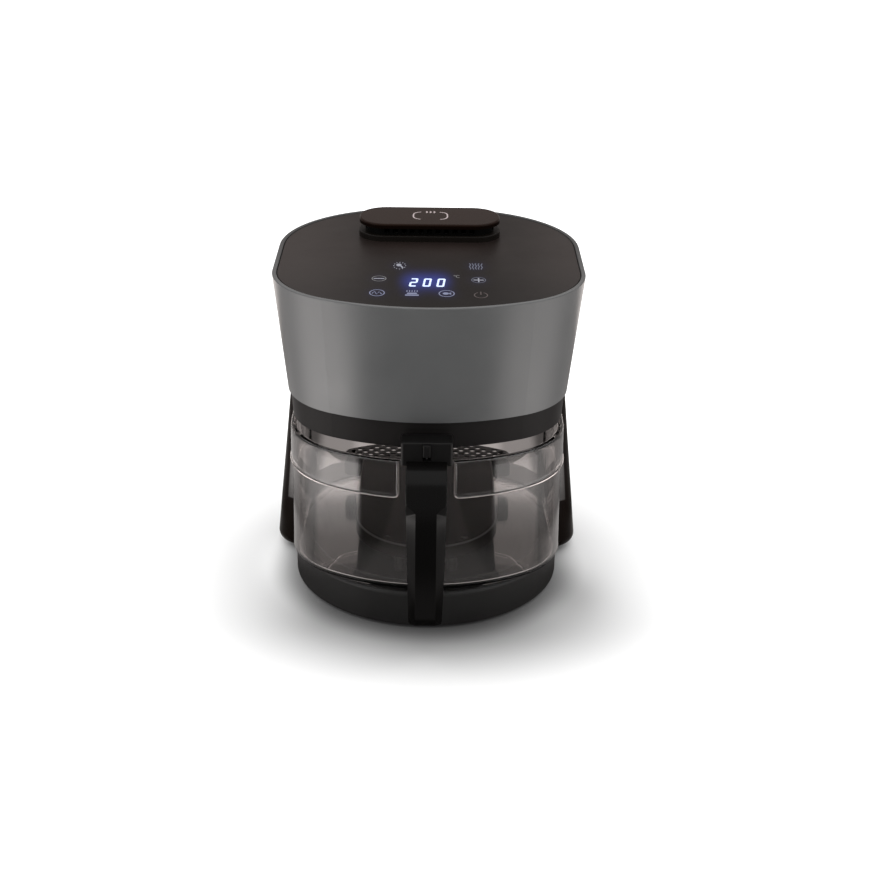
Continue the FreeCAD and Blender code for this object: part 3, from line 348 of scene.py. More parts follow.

# painted highlight: the tray's bent edge is made paler in its colour
nt = M["tray"].node_tree
yb = [n for n in nt.nodes if n.type == "BSDF_PRINCIPLED"][0]
tc = nt.nodes.new("ShaderNodeTexCoord")
sp3 = nt.nodes.new("ShaderNodeSeparateXYZ")
nt.links.new(tc.outputs["Object"], sp3.inputs[0])
tray_painted_highlight = times(times(rise(sp3.outputs["Z"], 0.0767, 0.0774), rise(sp3.outputs["Z"], 0.0789, 0.0784)), 0.060)
pale = nt.nodes.new("ShaderNodeVectorMath")
pale.operation = "ADD"
nt.links.new(yb.inputs["Base Color"].links[0].from_socket, pale.inputs[0])
nt.links.new(tray_painted_highlight, pale.inputs[1])
nt.links.new(pale.outputs[0], yb.inputs["Base Color"])

# painted shade: the cap's edge is darker and less glossy than its top
nt = M["cap"].node_tree
kb = [n for n in nt.nodes if n.type == "BSDF_PRINCIPLED"][0]
tc = nt.nodes.new("ShaderNodeTexCoord")
sp3 = nt.nodes.new("ShaderNodeSeparateXYZ")
nt.links.new(tc.outputs["Object"], sp3.inputs[0])
paint_shade(kb, less(rise(sp3.outputs["Z"], 0.3312, 0.3294), 0.62), 0.04)

# painted highlight: the specular level is raised in a wedge along the inner side of the arms' front
nt = M["arm"].node_tree
ab = [n for n in nt.nodes if n.type == "BSDF_PRINCIPLED"][0]
tc = nt.nodes.new("ShaderNodeTexCoord")
sp3 = nt.nodes.new("ShaderNodeSeparateXYZ")
nt.links.new(tc.outputs["Object"], sp3.inputs[0])
wide = nt.nodes.new("ShaderNodeMath")
wide.operation = "ABSOLUTE"
nt.links.new(sp3.outputs["X"], wide.inputs[0])
lean = nt.nodes.new("ShaderNodeMath")
lean.operation = "MULTIPLY_ADD"
nt.links.new(sp3.outputs["Z"], lean.inputs[0])
lean.inputs[1].default_value = 0.0817
nt.links.new(wide.outputs[0], lean.inputs[2])
arm_painted_highlight = times(times(rise(lean.outputs[0], 0.1427, 0.1417), rise(sp3.outputs["Z"], 0.0568, 0.0582)),
              times(rise(wide.outputs[0], 0.1290, 0.1294), rise(sp3.outputs["Y"], 0.048, 0.042)))
nt.links.new(less(arm_painted_highlight, -0.90, 0.06), ab.inputs["Specular IOR Level"])

BY_SLOT = {"shell_grey": "shell", "panel_dark": "panel", "black_satin": "satin", "black_gloss": "gloss", "glass_clear": "glass",
           "tray_coat": "tray", "silicone_black": "silicone", "rubber_foot": "rubber", "steel": "steel", "hood_steel": "hood",
           "element_dark": "element", "fan_alu": "fan", "motor_steel": "motor", "copper_winding": "copper", "board_green": "board",
           "display_dark": "display", "spring_steel": "spring", "magnet": "magnet", "lead_black": "lead", "cap_black": "cap"}


def dress(o, m):
    o.data.materials.clear()
    o.data.materials.append(m)


for sp in frame["record"]["subparts"]:
    dress(NODES[sp["node"]], M[BY_SLOT[sp["material_slot"]]])
dress(NODES["rear_shell"], M["arm"])
dress(NODES["vent_neck"], M["vent"])
dress(NODES["vent_plinth"], M["plinth"])
dress(NODES["base_shell"], M["foot"])
dress(NODES["handle_mount"], M["block"])
dress(NODES["release_button"], M["block"])
dress(NODES["lower_casing"], M["casing"])


# ------------------------------------------------------------------ modelled pieces
def tidy(me, sharp):
    bm = bmesh.new()
    bm.from_mesh(me)
    bmesh.ops.remove_doubles(bm, verts=bm.verts, dist=1e-7)
    bmesh.ops.recalc_face_normals(bm, faces=bm.faces)
    bm.to_mesh(me)
    bm.free()
    me.shade_smooth()
    me.set_sharp_from_angle(angle=math.radians(sharp))


def piece(name, pts, faces, mat, body, sharp=35.0, stands_for=(), bores=()):
    """A mesh in drawing millimetres that rides on a body; bores are (point, direction, radius, length) holes."""
    me = bpy.data.meshes.new(name)
    me.from_pydata([P(*q) for q in pts], [], faces)
    tidy(me, sharp)
    o = bpy.data.objects.new(name, me)
    SC.collection.objects.link(o)
    if bores:
        cutters = []
        for k, (at, way, r, length) in enumerate(bores):
            n = 40
            z = Vector(way).normalized()
            a = z.orthogonal().normalized()
            b = z.cross(a)
            ringpts = [Vector(at) + (a * math.cos(2 * math.pi * i / n) + b * math.sin(2 * math.pi * i / n)) * r for i in range(n)]
            cp = [P(*q) for q in ringpts] + [P(*(q + z * length)) for q in ringpts]
            cf = [tuple(range(n))[::-1], tuple(range(n, 2 * n))] + [(i, (i + 1) % n, n + (i + 1) % n, n + i) for i in range(n)]
            cm = bpy.data.meshes.new("bore%d" % k)
            cm.from_pydata(cp, [], cf)
            tidy(cm, 30)
            c = bpy.data.objects.new("bore%d" % k, cm)
            SC.collection.objects.link(c)
            cutters.append(c)
            md = o.modifiers.new("bore%d" % k, "BOOLEAN")
            md.operation = "DIFFERENCE"
            md.solver = "EXACT"
            md.object = c
        dg = bpy.context.evaluated_depsgraph_get()
        dg.update()
        new = bpy.data.meshes.new_from_object(o.evaluated_get(dg))
        o.modifiers.clear()
        o.data = new
        bpy.data.meshes.remove(me)
        new.name = name
        for c in cutters:
            cm = c.data
            bpy.data.objects.remove(c)
            bpy.data.meshes.remove(cm)
        tidy(new, sharp)
    dress(o, mat)
    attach(o, body)
    if stands_for:
        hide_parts(*stands_for)
    return o


def skin(rings, closed_ends=True):
    """Quads between rings of equal length, with a cap at each end."""
    n = len(rings[0])
    pts = [q for r in rings for q in r]
    faces = [(k * n + i, k * n + (i + 1) % n, (k + 1) * n + (i + 1) % n, (k + 1) * n + i) for k in range(len(rings) - 1) for i in range(n)]
    if closed_ends:
        faces += [tuple(range(n))[::-1], tuple(range((len(rings) - 1) * n, len(rings) * n))]
    return pts, faces


def smoothstep(t):
    t = min(1.0, max(0.0, t))
    return t * t * (3 - 2 * t)


# ---- glass pot: one closed skin of outer wall, rounded rim and inner wall, with a raised collar that breaks behind the handle
POT_HW, POT_YF, POT_R, POT_Y0, POT_YB, POT_Y1 = 126.5, -145.0, 170.0, -53.0, 109.0, 17.0
POT_Z0, POT_Z1, POT_FLARE, POT_WALL = 42.0, 170.5, 2.0, 4.2
COLLAR_Z, COLLAR_T, COLLAR_S, COLLAR_R = 134.5, 1.8, 24.5, 5.5


def pot_outline():
    """Right half of the pot's plan from the middle of the front to the middle of the back: x, y, outward direction, run from the front."""
    cf, cb = POT_YF + POT_R, POT_YB - POT_R
    kf = (POT_R ** 2 - POT_HW ** 2 - (POT_Y0 - cf) ** 2) / (2 * (POT_R - POT_HW))
    kb = (POT_R ** 2 - POT_HW ** 2 - (POT_Y1 - cb) ** 2) / (2 * (POT_R - POT_HW))
    xf, xb = POT_HW - kf, POT_HW - kb
    af = math.atan2(xf, cf - POT_Y0)
    ab = math.atan2(xb, POT_Y1 - cb)
    end = POT_R * af
    runs = [0.0, 4.0, 8.0, 12.0, 16.0, 19.0, 21.0, 22.2]
    t = 23.0
    while t < 31.6:
        runs.append(t)
        t += 0.32
    runs += [33.0, 35.0]
    t = 38.5
    while t < end - 2:
        runs.append(t)
        t += 3.5
    out = [(POT_R * math.sin(r / POT_R), cf - POT_R * math.cos(r / POT_R), math.sin(r / POT_R), -math.cos(r / POT_R), r) for r in runs]
    n = 24
    for i in range(n + 1):
        a = af + (math.pi / 2 - af) * i / n
        out.append((xf + kf * math.sin(a), POT_Y0 - kf * math.cos(a), math.sin(a), -math.cos(a), end + kf * (a - af)))
    n = 6
    for i in range(1, n):
        out.append((POT_HW, POT_Y0 + (POT_Y1 - POT_Y0) * i / n, 1.0, 0.0, 999.0))
    n = 24
    for i in range(n + 1):
        a = math.pi / 2 - (math.pi / 2 - ab) * i / n
        out.append((xb + kb * math.sin(a), POT_Y1 + kb * math.cos(a), math.sin(a), math.cos(a), 999.0))
    n = 22
    for i in range(1, n + 1):
        a = ab * (1 - i / n)
        out.append((POT_R * math.sin(a), cb + POT_R * math.cos(a), math.sin(a), math.cos(a), 999.0))
    return out


half = pot_outline()
PLAN = half + [(-x, y, -nx, ny, s) for x, y, nx, ny, s in reversed(half[1:-1])]


def pot_step(z):
    return POT_FLARE * (z - POT_Z0) / (POT_Z1 - POT_Z0)


def collar(s, z):
    """0 on the plain wall, 1 on the collar; the collar's corner beside the break is round."""
    a, b = s - COLLAR_S, z - COLLAR_Z
    if a < COLLAR_R and b < COLLAR_R:
        d = COLLAR_R - math.hypot(COLLAR_R - a, COLLAR_R - b)
    else:
        d = min(a, b)
    return smoothstep((d + 0.15) / 1.1) + 0.50 * math.exp(-((d - 1.25) / 0.6) ** 2)


def pot_ring(z, d, with_collar):
    return [(x - nx * (d - COLLAR_T * (collar(s, with_collar) if with_collar else 0.0)),
             y - ny * (d - COLLAR_T * (collar(s, with_collar) if with_collar else 0.0)), z) for x, y, nx, ny, s in PLAN]


FOOT_R = 4.6
rings = [pot_ring(POT_Z0, 34.0, 0), pot_ring(POT_Z0, FOOT_R + 0.6, 0)]
for i in range(1, 13):
    f = math.pi / 2 * i / 12
    rings.append(pot_ring(POT_Z0 + FOOT_R * (1 - math.cos(f)), FOOT_R * (1 - math.sin(f)) + pot_step(POT_Z0 + FOOT_R) * math.sin(f), 0))
for z in (56, 64, 74, 86, 98, 110, 120, 128, 132):
    rings.append(pot_ring(z, pot_step(z), 0))
z = 133.6
while z < 141.0:
    rings.append(pot_ring(z, pot_step(z), z))
    z += 0.32
for z in (142.5, 146, 151, 157, 163):
    rings.append(pot_ring(z, pot_step(z), z))
RIM_R = 1.9
for i in range(0, 8):
    f = math.pi / 2 * i / 7
    z = POT_Z1 - RIM_R + RIM_R * math.sin(f)
    rings.append(pot_ring(z, pot_step(z) + RIM_R * (1 - math.cos(f)), 165.0))
for i in range(7, -1, -1):
    f = math.pi / 2 * i / 7
    z = POT_Z1 - RIM_R + RIM_R * math.sin(f)
    rings.append(pot_ring(z, pot_step(z) + POT_WALL - RIM_R * (1 - math.cos(f)), 0))
for z in (160, 148, 134, 118, 100, 82, 66, 56):
    rings.append(pot_ring(z, pot_step(z) + POT_WALL, 0))
IN_R, IN_Z = 2.6, POT_Z0 + 3.8
for i in range(10, -1, -1):
    f = math.pi / 2 * i / 10
    rings.append(pot_ring(IN_Z + IN_R * (1 - math.cos(f)), POT_WALL + IN_R * (1 - math.sin(f)) + pot_step(IN_Z + IN_R) * math.sin(f), 0))
rings.append(pot_ring(IN_Z, 34.0, 0))
pts, faces = skin(rings)
piece("glass_bowl", pts, faces, M["glass"], "pot", 50.0, ("glass_pot",),
      bores=[((hx, -156.0, 158.0), (0, 1, 0), 2.6, 26.0) for hx in (-9.0, 9.0)])


# ---- handle: two moulded halves drawn along a smooth side view
def catmull(rows, fine):
    """Smooth rows of numbers through the given ones; fine is the number of steps in each gap."""
    out = []
    for i in range(len(rows) - 1):
        p0, p1 = rows[max(i - 1, 0)], rows[i]
        p2, p3 = rows[i + 1], rows[min(i + 2, len(rows) - 1)]
        for k in range(fine[i]):
            t = k / fine[i]
            out.append([0.5 * (2 * b + (c - a) * t + (2 * a - 5 * b + 4 * c - d) * t * t + (3 * b - a - 3 * c + d) * t ** 3)
                        for a, b, c, d in zip(p0, p1, p2, p3)])
    out.append(list(rows[-1]))
    return out


# front y, front z, back y, back z, share of the width kept
SIDE = [(-158.3, 178.0, -158.3, 156.6, 1.0), (-164.2, 177.0, -160.9, 153.4, 1.0), (-170.9, 174.2, -163.2, 149.6, 1.0),
        (-177.3, 169.2, -165.2, 145.0, 1.0), (-183.3, 161.2, -166.9, 139.4, 1.0), (-187.8, 151.2, -168.2, 132.4, 1.0),
        (-190.6, 140.2, -168.9, 124.0, 1.0), (-191.8, 127.0, -169.2, 114.0, 1.0), (-192.0, 104.0, -169.3, 96.0, 1.0),
        (-192.0, 72.0, -169.6, 68.0, 1.0), (-191.3, 44.0, -170.1, 44.0, 1.0), (-190.0, 35.8, -171.0, 36.8, 1.0),
        (-187.6, 31.2, -173.0, 31.8, 0.985), (-184.4, 28.9, -176.0, 29.0, 0.95), (-181.6, 28.0, -178.8, 28.0, 0.90)]
STEPS = [5, 5, 5, 6, 10, 14, 8, 5, 5, 5, 5, 5, 5, 5]


def rounded(corners, n=4):
    """Closed outline with each corner (x, q, radius) rounded."""
    out = []
    m = len(corners)
    for i in range(m):
        x, q, r = corners[i]
        a = Vector(corners[i - 1][:2]) - Vector((x, q))
        b = Vector(corners[(i + 1) % m][:2]) - Vector((x, q))
        la, lb = a.length, b.length
        a, b = a / la, b / lb
        ang = math.acos(max(-0.9999, min(0.9999, a.dot(b))))
        t = min(r / math.tan(ang / 2), 0.42 * la, 0.42 * lb)
        p0, p2, p1 = Vector((x, q)) + a * t, Vector((x, q)) + b * t, Vector((x, q))
        for k in range(n + 1):
            u = k / n
            w = (1 - u) ** 2 + 2 * u * (1 - u) * math.sin(ang / 2) + u * u
            out.append((p0 * (1 - u) ** 2 + p1 * 2 * u * (1 - u) * math.sin(ang / 2) + p2 * u * u) / w)
    return out


front_rings, back_rings = [], []
for fy, fz, by, bz, keep in catmull(SIDE, STEPS):
    L = math.hypot(fy - by, fz - bz)
    dy, dz = (fy - by) / L, (fz - bz) / L
    hw = (17.9 - 2.9 * max(0.0, min(1.0, (150 - fz) / 120.0))) * keep
    k = smoothstep((152.0 - fz) / 9.5)
    s = (hw - 0.75) * (1 - k) + 9.0 * k
    e = (0.9 * (1 - k) + 8.3 * k) * min(1.0, L / 18.0)
    if fz < 60:
        s = min(s, hw - 2.0)
    q = 0.54 * L
    fr = rounded([(hw, q, 0.5), (hw, L - e, 1.3), (s, L, 0.9), (-s, L, 0.9), (-hw, L - e, 1.3), (-hw, q, 0.5)])
    bk = rounded([(-hw + 0.15, q - 0.16, 0.5), (-hw + 0.15, 0, 4.8), (hw - 0.15, 0, 4.8), (hw - 0.15, q - 0.16, 0.5)], 6)
    front_rings.append([(v.x, by + dy * v.y, bz + dz * v.y) for v in fr])
    back_rings.append([(v.x, by + dy * v.y, bz + dz * v.y) for v in bk])
pts, faces = skin(front_rings)
piece("grip_front", pts, faces, M["gloss"], "pot", 28.0, ("handle_grip",))
pts, faces = skin(back_rings)
piece("grip_back", pts, faces, M["satin"], "pot", 28.0, ("handle_inner",),
      bores=[((0, -174.0, 62.0), (0, 1, 0), 3.8, 20.0), ((0, -174.0, 128.0), (0, 1, 0), 3.8, 20.0)])

# ---- folded leaf spring under the release slider
leaf = [Vector((-150.9 if k % 2 else -153.5, 176.5 + 1.1 * k)) for k in range(6)]
run = [leaf[0]]
for a, b, c in zip(leaf, leaf[1:], leaf[2:]):
    p0, p2 = b.lerp(a, 0.2), b.lerp(c, 0.2)
    run += [p0 * (1 - u) ** 2 + b * 2 * u * (1 - u) + p2 * u * u for u in (0.0, 0.25, 0.5, 0.75, 1.0)]
run.append(leaf[-1])
rings = []
for i, q in enumerate(run):
    d = (run[min(i + 1, len(run) - 1)] - run[max(i - 1, 0)]).normalized() * 0.14
    rings.append([(-1.0, q.x + d.y, q.y - d.x), (1.0, q.x + d.y, q.y - d.x), (1.0, q.x - d.y, q.y + d.x), (-1.0, q.x - d.y, q.y + d.x)])
pts, faces = skin(rings)
spring = piece("slider_spring", pts, faces, M[BY_SLOT["spring_steel"]], "pot", 40.0, ("button_spring",))
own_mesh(spring)


# ---- lit marks behind the top panel and the printed mark on the vent cap
def ribbon(path, w, closed=False):
    """Flat strip of width w along a path."""
    n = len(path)
    left, right = [], []
    for i in range(n):
        a = path[i - 1] if (i > 0 or closed) else path[i]
        b = path[(i + 1) % n] if (i < n - 1 or closed) else path[i]
        d = Vector((b[0] - a[0], b[1] - a[1])).normalized()
        left.append((path[i][0] - d.y * w / 2, path[i][1] + d.x * w / 2))
        right.append((path[i][0] + d.y * w / 2, path[i][1] - d.x * w / 2))
    m = n if closed else n - 1
    return [[left[i], right[i], right[(i + 1) % n], left[(i + 1) % n]] for i in range(m)]


def oval(cx, cy, rx, ry, a0=0.0, a1=360.0, n=40):
    return [(cx + rx * math.cos(math.radians(a0 + (a1 - a0) * i / n)), cy + ry * math.sin(math.radians(a0 + (a1 - a0) * i / n)))
            for i in range(n if abs(a1 - a0) >= 360 else n + 1)]


def marks(name, shapes, z, mat, thick=0.06):
    """Thin raised shapes on a flat face."""
    pts, faces = [], []
    for sh in shapes:
        b, n = len(pts), len(sh)
        area2 = sum(sh[i][0] * sh[(i + 1) % n][1] - sh[(i + 1) % n][0] * sh[i][1] for i in range(n))
        sh = sh if area2 > 0 else sh[::-1]
        pts += [(x, y, z) for x, y in sh] + [(x, y, z + thick) for x, y in sh]
        faces.append(tuple(range(b + n, b + 2 * n)))
        faces.append(tuple(range(b, b + n))[::-1])
        faces += [(b + i, b + (i + 1) % n, b + n + (i + 1) % n, b + n + i) for i in range(n)]
    me = bpy.data.meshes.new(name)
    me.from_pydata([P(*q) for q in pts], [], faces)
    o = bpy.data.objects.new(name, me)
    SC.collection.objects.link(o)
    dress(o, mat)
    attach(o, "housing")
    return o


def digit(x0, y0, w, h, segs, slant=0.075, tv=1.75, th=3.0):
    """Seven-segment digit, leaning to the right; x0, y0 is its lower left corner."""
    m = h / 2
    g = 0.25
    body = {"a": (tv * 0.5, h - th, w - tv * 0.5, h), "d": (tv * 0.5, 0, w - tv * 0.5, th), "g": (tv * 0.5, m - th / 2, w - tv * 0.5, m + th / 2),
            "b": (w - tv, m + g, w, h - th * 0.35), "c": (w - tv, th * 0.35, w, m - g), "f": (0, m + g, tv, h - th * 0.35), "e": (0, th * 0.35, tv, m - g)}
    out = []
    for s in segs:
        xa, ya, xb, yb = body[s]
        out.append([(x0 + x + slant * y, y0 + y) for x, y in ((xa, ya), (xb, ya), (xb, yb), (xa, yb))])
    return out


PZ = 314.42
M["digit"] = glow("display_light", (0.62, 0.74, 1.0), 1.5)
M["icon_white"] = glow("icon_white", (0.70, 0.72, 0.86), 0.42)
M["icon_blue"] = glow("icon_blue", (0.40, 0.45, 0.76), 0.42)
M["icon_dim"] = glow("icon_dim", (0.34, 0.38, 0.58), 0.28)
M["icon_grey"] = glow("icon_grey", (0.60, 0.60, 0.62), 0.22)
M["icon_red"] = glow("icon_red", (0.40, 0.12, 0.10), 0.07)
M["print"] = moulded("vent_print", (0.36, 0.30, 0.30), 0.5, var=0.08, fine=1500.0, grain=0.05)

marks("display_digits", digit(-17.4, -91.0, 6.8, 22.0, "abged") + digit(-5.6, -90.8, 6.9, 21.6, "abcdef") + digit(6.5, -91.0, 6.9, 21.8, "abcdef"),
      PZ, M["digit"])
cx, cy = -26.4, -34.3
marks("mark_roast", [oval(cx + 5.3 * math.cos(2 * math.pi * i / 12), cy + 9.4 * math.sin(2 * math.pi * i / 12), 0.5, 0.9, n=10) for i in range(12)]
      + [oval(cx - 0.8, cy + 2.0, 2.3, 3.8, n=20), [(cx - 0.1, cy + 0.6), (cx + 1.0, cy + 2.2), (cx + 3.0, cy - 3.7), (cx + 1.8, cy - 5.2)],
         oval(cx + 2.6, cy - 5.0, 0.9, 1.5, n=12)], PZ, M["icon_white"])
cx, cy = 42.2, -34.2
marks("mark_chips", [q for i in range(5) for q in ribbon([(cx - 5.2 + 2.6 * i + 0.5 * math.sin(k * 1.05 + i), cy - 8.5 + 1.7 * k) for k in range(11)], 0.9)],
      PZ, M["icon_dim"])
cx, cy = -43.8, -70.5
marks("mark_less", ribbon(oval(cx, cy, 6.1, 7.0), 0.8, True), PZ, M["icon_grey"])
marks("mark_less_bar", [[(cx - 4.7, cy - 0.9), (cx + 4.7, cy - 0.9), (cx + 4.7, cy + 0.9), (cx - 4.7, cy + 0.9)]], PZ, M["icon_white"])
cx, cy = 43.9, -71.8
marks("mark_more", ribbon(oval(cx, cy, 6.1, 7.2), 0.6, True), PZ, M["icon_dim"])
marks("mark_more_bars", [[(cx - 4.6, cy - 0.9), (cx + 4.6, cy - 0.9), (cx + 4.6, cy + 0.9), (cx - 4.6, cy + 0.9)],
                         [(cx - 0.6, cy + 0.9), (cx + 0.6, cy + 0.9), (cx + 0.6, cy + 5.4), (cx - 0.6, cy + 5.4)],
                         [(cx - 0.6, cy - 5.4), (cx + 0.6, cy - 5.4), (cx + 0.6, cy - 0.9), (cx - 0.6, cy - 0.9)]], PZ, M["icon_white"])
cx, cy = -44.3, -108.4
marks("mark_air", ribbon(oval(cx, cy, 6.3, 8.0), 0.9, True)
      + ribbon([(cx - 4.2, cy - 1.8), (cx - 2.3, cy + 3.8), (cx - 0.3, cy - 3.6), (cx + 1.8, cy + 2.8), (cx + 4.0, cy - 2.6)], 1.0), PZ, M["icon_blue"])
cx, cy = -14.2, -108.4
marks("mark_bake", [[(cx - 5.9, cy - 6.6), (cx + 5.9, cy - 6.6), (cx + 5.9, cy - 3.6), (cx - 5.9, cy - 3.6)],
                    [(cx - 4.7, cy - 2.4), (cx + 4.7, cy - 2.4), (cx + 3.8, cy + 1.2), (cx - 3.8, cy + 1.2)]]
      + [q for i in range(5) for q in ribbon([(cx - 4.4 + 2.2 * i, cy + 3.0), (cx - 4.4 + 2.2 * i, cy + 7.6)], 0.8)], PZ, M["icon_blue"])
cx, cy = 15.6, -108.4
marks("mark_fish", ribbon(oval(cx, cy, 6.5, 8.0), 0.9, True)
      + [oval(cx - 0.8, cy, 2.7, 2.9, n=24), [(cx + 1.4, cy), (cx + 3.9, cy + 3.0), (cx + 3.9, cy - 3.0)]], PZ, M["icon_blue"])
cx, cy = 45.0, -111.6
marks("mark_power", ribbon(oval(cx, cy, 5.6, 7.0, 115, 425), 0.9) + [[(cx - 0.5, cy + 1.0), (cx + 0.5, cy + 1.0), (cx + 0.5, cy + 8.6), (cx - 0.5, cy + 8.6)]],
      PZ, M["icon_red"])
cx, cy = 24.7, -62.7
marks("mark_degree", ribbon(oval(cx - 1.9, cy + 2.2, 0.7, 1.1, n=12), 0.5, True) + ribbon(oval(cx + 1.2, cy, 1.7, 3.2, 50, 310, n=16), 0.8), PZ, M["icon_grey"])
cx, cy = 0.7, 63.6
def pan(a0, a1, n=40):
    """Part of a soft-cornered outline, by angle."""
    out = []
    for i in range(n + 1):
        a = math.radians(a0 + (a1 - a0) * i / n)
        c, d = math.cos(a), math.sin(a)
        out.append((cx + 16.2 * math.copysign(abs(c) ** 0.62, c), cy + 12.4 * math.copysign(abs(d) ** 0.62, d)))
    return out


marks("vent_mark", ribbon(pan(112, 246), 1.4) + ribbon(pan(-66, 68), 1.4)
      + [q for i in (-1, 0, 1) for q in ribbon([(cx + 3.6 * i - 0.5, cy + 9.0), (cx + 3.6 * i + 0.5, cy + 11.6), (cx + 3.6 * i - 0.3, cy + 14.6)], 1.5)],
      332.02, M["print"])

# ------------------------------------------------------------------ stage
def flat_mesh(name, pts, faces):
    me = bpy.data.meshes.new(name)
    me.from_pydata([Vector(p) for p in pts], [], faces)
    o = bpy.data.objects.new(name, me)
    SC.collection.objects.link(o)
    return o


floor = flat_mesh("floor", [(-13, -13, 0), (13, -13, 0), (13, 13, 0), (-13, 13, 0)], [(0, 1, 2, 3)])
floor_mat = moulded("floor_white", (0.80, 0.80, 0.80), 0.8, var=0.01, rvar=0.05, fine=60.0, cloud=3.0, grain=0.02, depth=0.0002, spec=0.0)
nt = floor_mat.node_tree
fb = [n for n in nt.nodes if n.type == "BSDF_PRINCIPLED"][0]
# painted light: the floor glows more with distance from the middle, from none within 0.1 m to full beyond 0.4 m, so it
# is dimmer near the object
tc = nt.nodes.new("ShaderNodeTexCoord")
ln = nt.nodes.new("ShaderNodeVectorMath")
ln.operation = "LENGTH"
nt.links.new(tc.outputs["Object"], ln.inputs[0])
fb.inputs["Emission Color"].default_value = (1, 1, 1, 1)
nt.links.new(times(rise(ln.outputs["Value"], 0.10, 0.40), 0.55), fb.inputs["Emission Strength"])
sp3 = nt.nodes.new("ShaderNodeSeparateXYZ")
nt.links.new(tc.outputs["Object"], sp3.inputs[0])
# painted shadow: the floor's colour is darkened round the base and most in front of it; two bells beside the arms
# lighten it again
floor_painted_shadow = less(bell(20.0, -134.5, 160.0, 75.0, 2.0, 0.74), 0.80, 0.80)
foot_way = nt.nodes.new("ShaderNodeVectorMath")
foot_way.operation = "DISTANCE"
nt.links.new(tc.outputs["Object"], foot_way.inputs[0])
foot_way.inputs[1].default_value = (0.0, 0.0005, 0.0)
floor_painted_shadow = times(floor_painted_shadow, less(rise(foot_way.outputs["Value"], 0.126, 0.160), -0.62, 0.38))
for fx, fy, rx, ry, k in ((140.0, -72.0, 32.0, 45.0, 0.34), (-95.0, -122.0, 36.0, 38.0, 0.22), (-142.0, -8.0, 22.0, 48.0, -0.35), (133.0, -5.0, 14.0, 25.0, -0.28)):
    floor_painted_shadow = times(floor_painted_shadow, less(bell(fx, fy, rx, ry, 2.0, k), 1.0, 1.0))
for link in list(fb.inputs["Base Color"].links):
    nt.links.remove(link)
nt.links.new(floor_painted_shadow, fb.inputs["Base Color"])
dress(floor, floor_mat)
floor.visible_glossy = False
floor.visible_transmission = False


def lamp_sheet(name, pts, only):
    """Emitting sheet that is seen by the named kinds of ray alone."""
    o = flat_mesh(name, pts, [(0, 1, 2, 3)])
    m = bpy.data.materials.new(name)
    m.use_nodes = True
    t = m.node_tree
    t.nodes.clear()
    mo = t.nodes.new("ShaderNodeOutputMaterial")
    e = t.nodes.new("ShaderNodeEmission")
    t.links.new(e.outputs[0], mo.inputs[0])
    dress(o, m)
    for flag in ("camera", "diffuse", "glossy", "transmission", "shadow", "volume_scatter"):
        setattr(o, "visible_" + flag, flag in only)
    return o, t, e


# what shiny faces see below them: two bright panels, left and right of the front, and a dark way in front
mirror, nt, em = lamp_sheet("floor_glow", [(-3, -3, -0.004), (3, -3, -0.004), (3, 3, -0.004), (-3, 3, -0.004)], ("glossy",))


def mth(op, a, b=None, c=None, clamp=False):
    n = nt.nodes.new("ShaderNodeMath")
    n.operation = op
    n.use_clamp = clamp
    for i, v in enumerate((a, b, c)):
        if v is None:
            continue
        if isinstance(v, (int, float)):
            n.inputs[i].default_value = v
        else:
            nt.links.new(v, n.inputs[i])
    return n.outputs[0]


def smooth(v, a, b, lo=0.0, hi=1.0):
    n = nt.nodes.new("ShaderNodeMapRange")
    n.interpolation_type = "SMOOTHSTEP"
    n.inputs["From Min"].default_value = a
    n.inputs["From Max"].default_value = b
    n.inputs["To Min"].default_value = lo
    n.inputs["To Max"].default_value = hi
    nt.links.new(v, n.inputs["Value"])
    return n.outputs["Result"]


geo = nt.nodes.new("ShaderNodeTexCoord")
sx = nt.nodes.new("ShaderNodeSeparateXYZ")
nt.links.new(geo.outputs["Object"], sx.inputs[0])
gx, gy = sx.outputs["X"], mth("ADD", sx.outputs["Y"], 0.064 - 0.0145)
ax = mth("ABSOLUTE", gx)
ang = mth("DEGREES", mth("ARCTAN2", ax, mth("MULTIPLY", gy, -1.0)))
rad = mth("SQRT", mth("ADD", mth("MULTIPLY", gx, gx), mth("MULTIPLY", gy, gy)))
side = smooth(ang, 41.0, 46.0)
back = smooth(ang, 72.0, 112.0, 1.0, 0.16)
far = mth("ADD", mth("MULTIPLY", smooth(rad, 0.21, 0.42, 0.10, 3.9), smooth(rad, 0.48, 0.60, 1.0, 0.80)),
          mth("MULTIPLY", mth("MULTIPLY", smooth(rad, 0.355, 0.40, 0.0, 2.0), smooth(rad, 0.47, 0.52, 1.0, 0.0)), smooth(ang, 64.0, 80.0, 1.0, 0.0)))
right = smooth(gx, -0.05, 0.05, 1.0, 0.62)
lit = mth("MULTIPLY", mth("MULTIPLY", side, back), mth("MULTIPLY", far, right))
front = mth("ADD", smooth(rad, 0.30, 1.2, 0.03, 0.35), mth("MULTIPLY", smooth(rad, 0.15, 0.18, 0.0, 0.45), smooth(rad, 0.235, 0.285, 1.0, 0.0)))
nt.links.new(mth("ADD", lit, front), em.inputs["Strength"])
em.inputs["Color"].default_value = (1.0, 0.955, 0.935, 1)

# pale panel behind, seen in the pot's floor and through its back
panel, nt, em = lamp_sheet("back_panel", [(-0.7, 0.36, 0.0), (0.7, 0.36, 0.0), (0.7, 0.36, 0.6), (-0.7, 0.36, 0.6)], ("glossy", "transmission"))
geo = nt.nodes.new("ShaderNodeTexCoord")
sx = nt.nodes.new("ShaderNodeSeparateXYZ")
nt.links.new(geo.outputs["Object"], sx.inputs[0])
pz = sx.outputs["Z"]
nt.links.new(mth("ADD", mth("MULTIPLY", smooth(pz, 0.06, 0.12, 0.0, 1.9), smooth(pz, 0.135, 0.225, 1.0, 0.06)), 0.34), em.inputs["Strength"])
em.inputs["Color"].default_value = (1.0, 0.92, 0.885, 1)

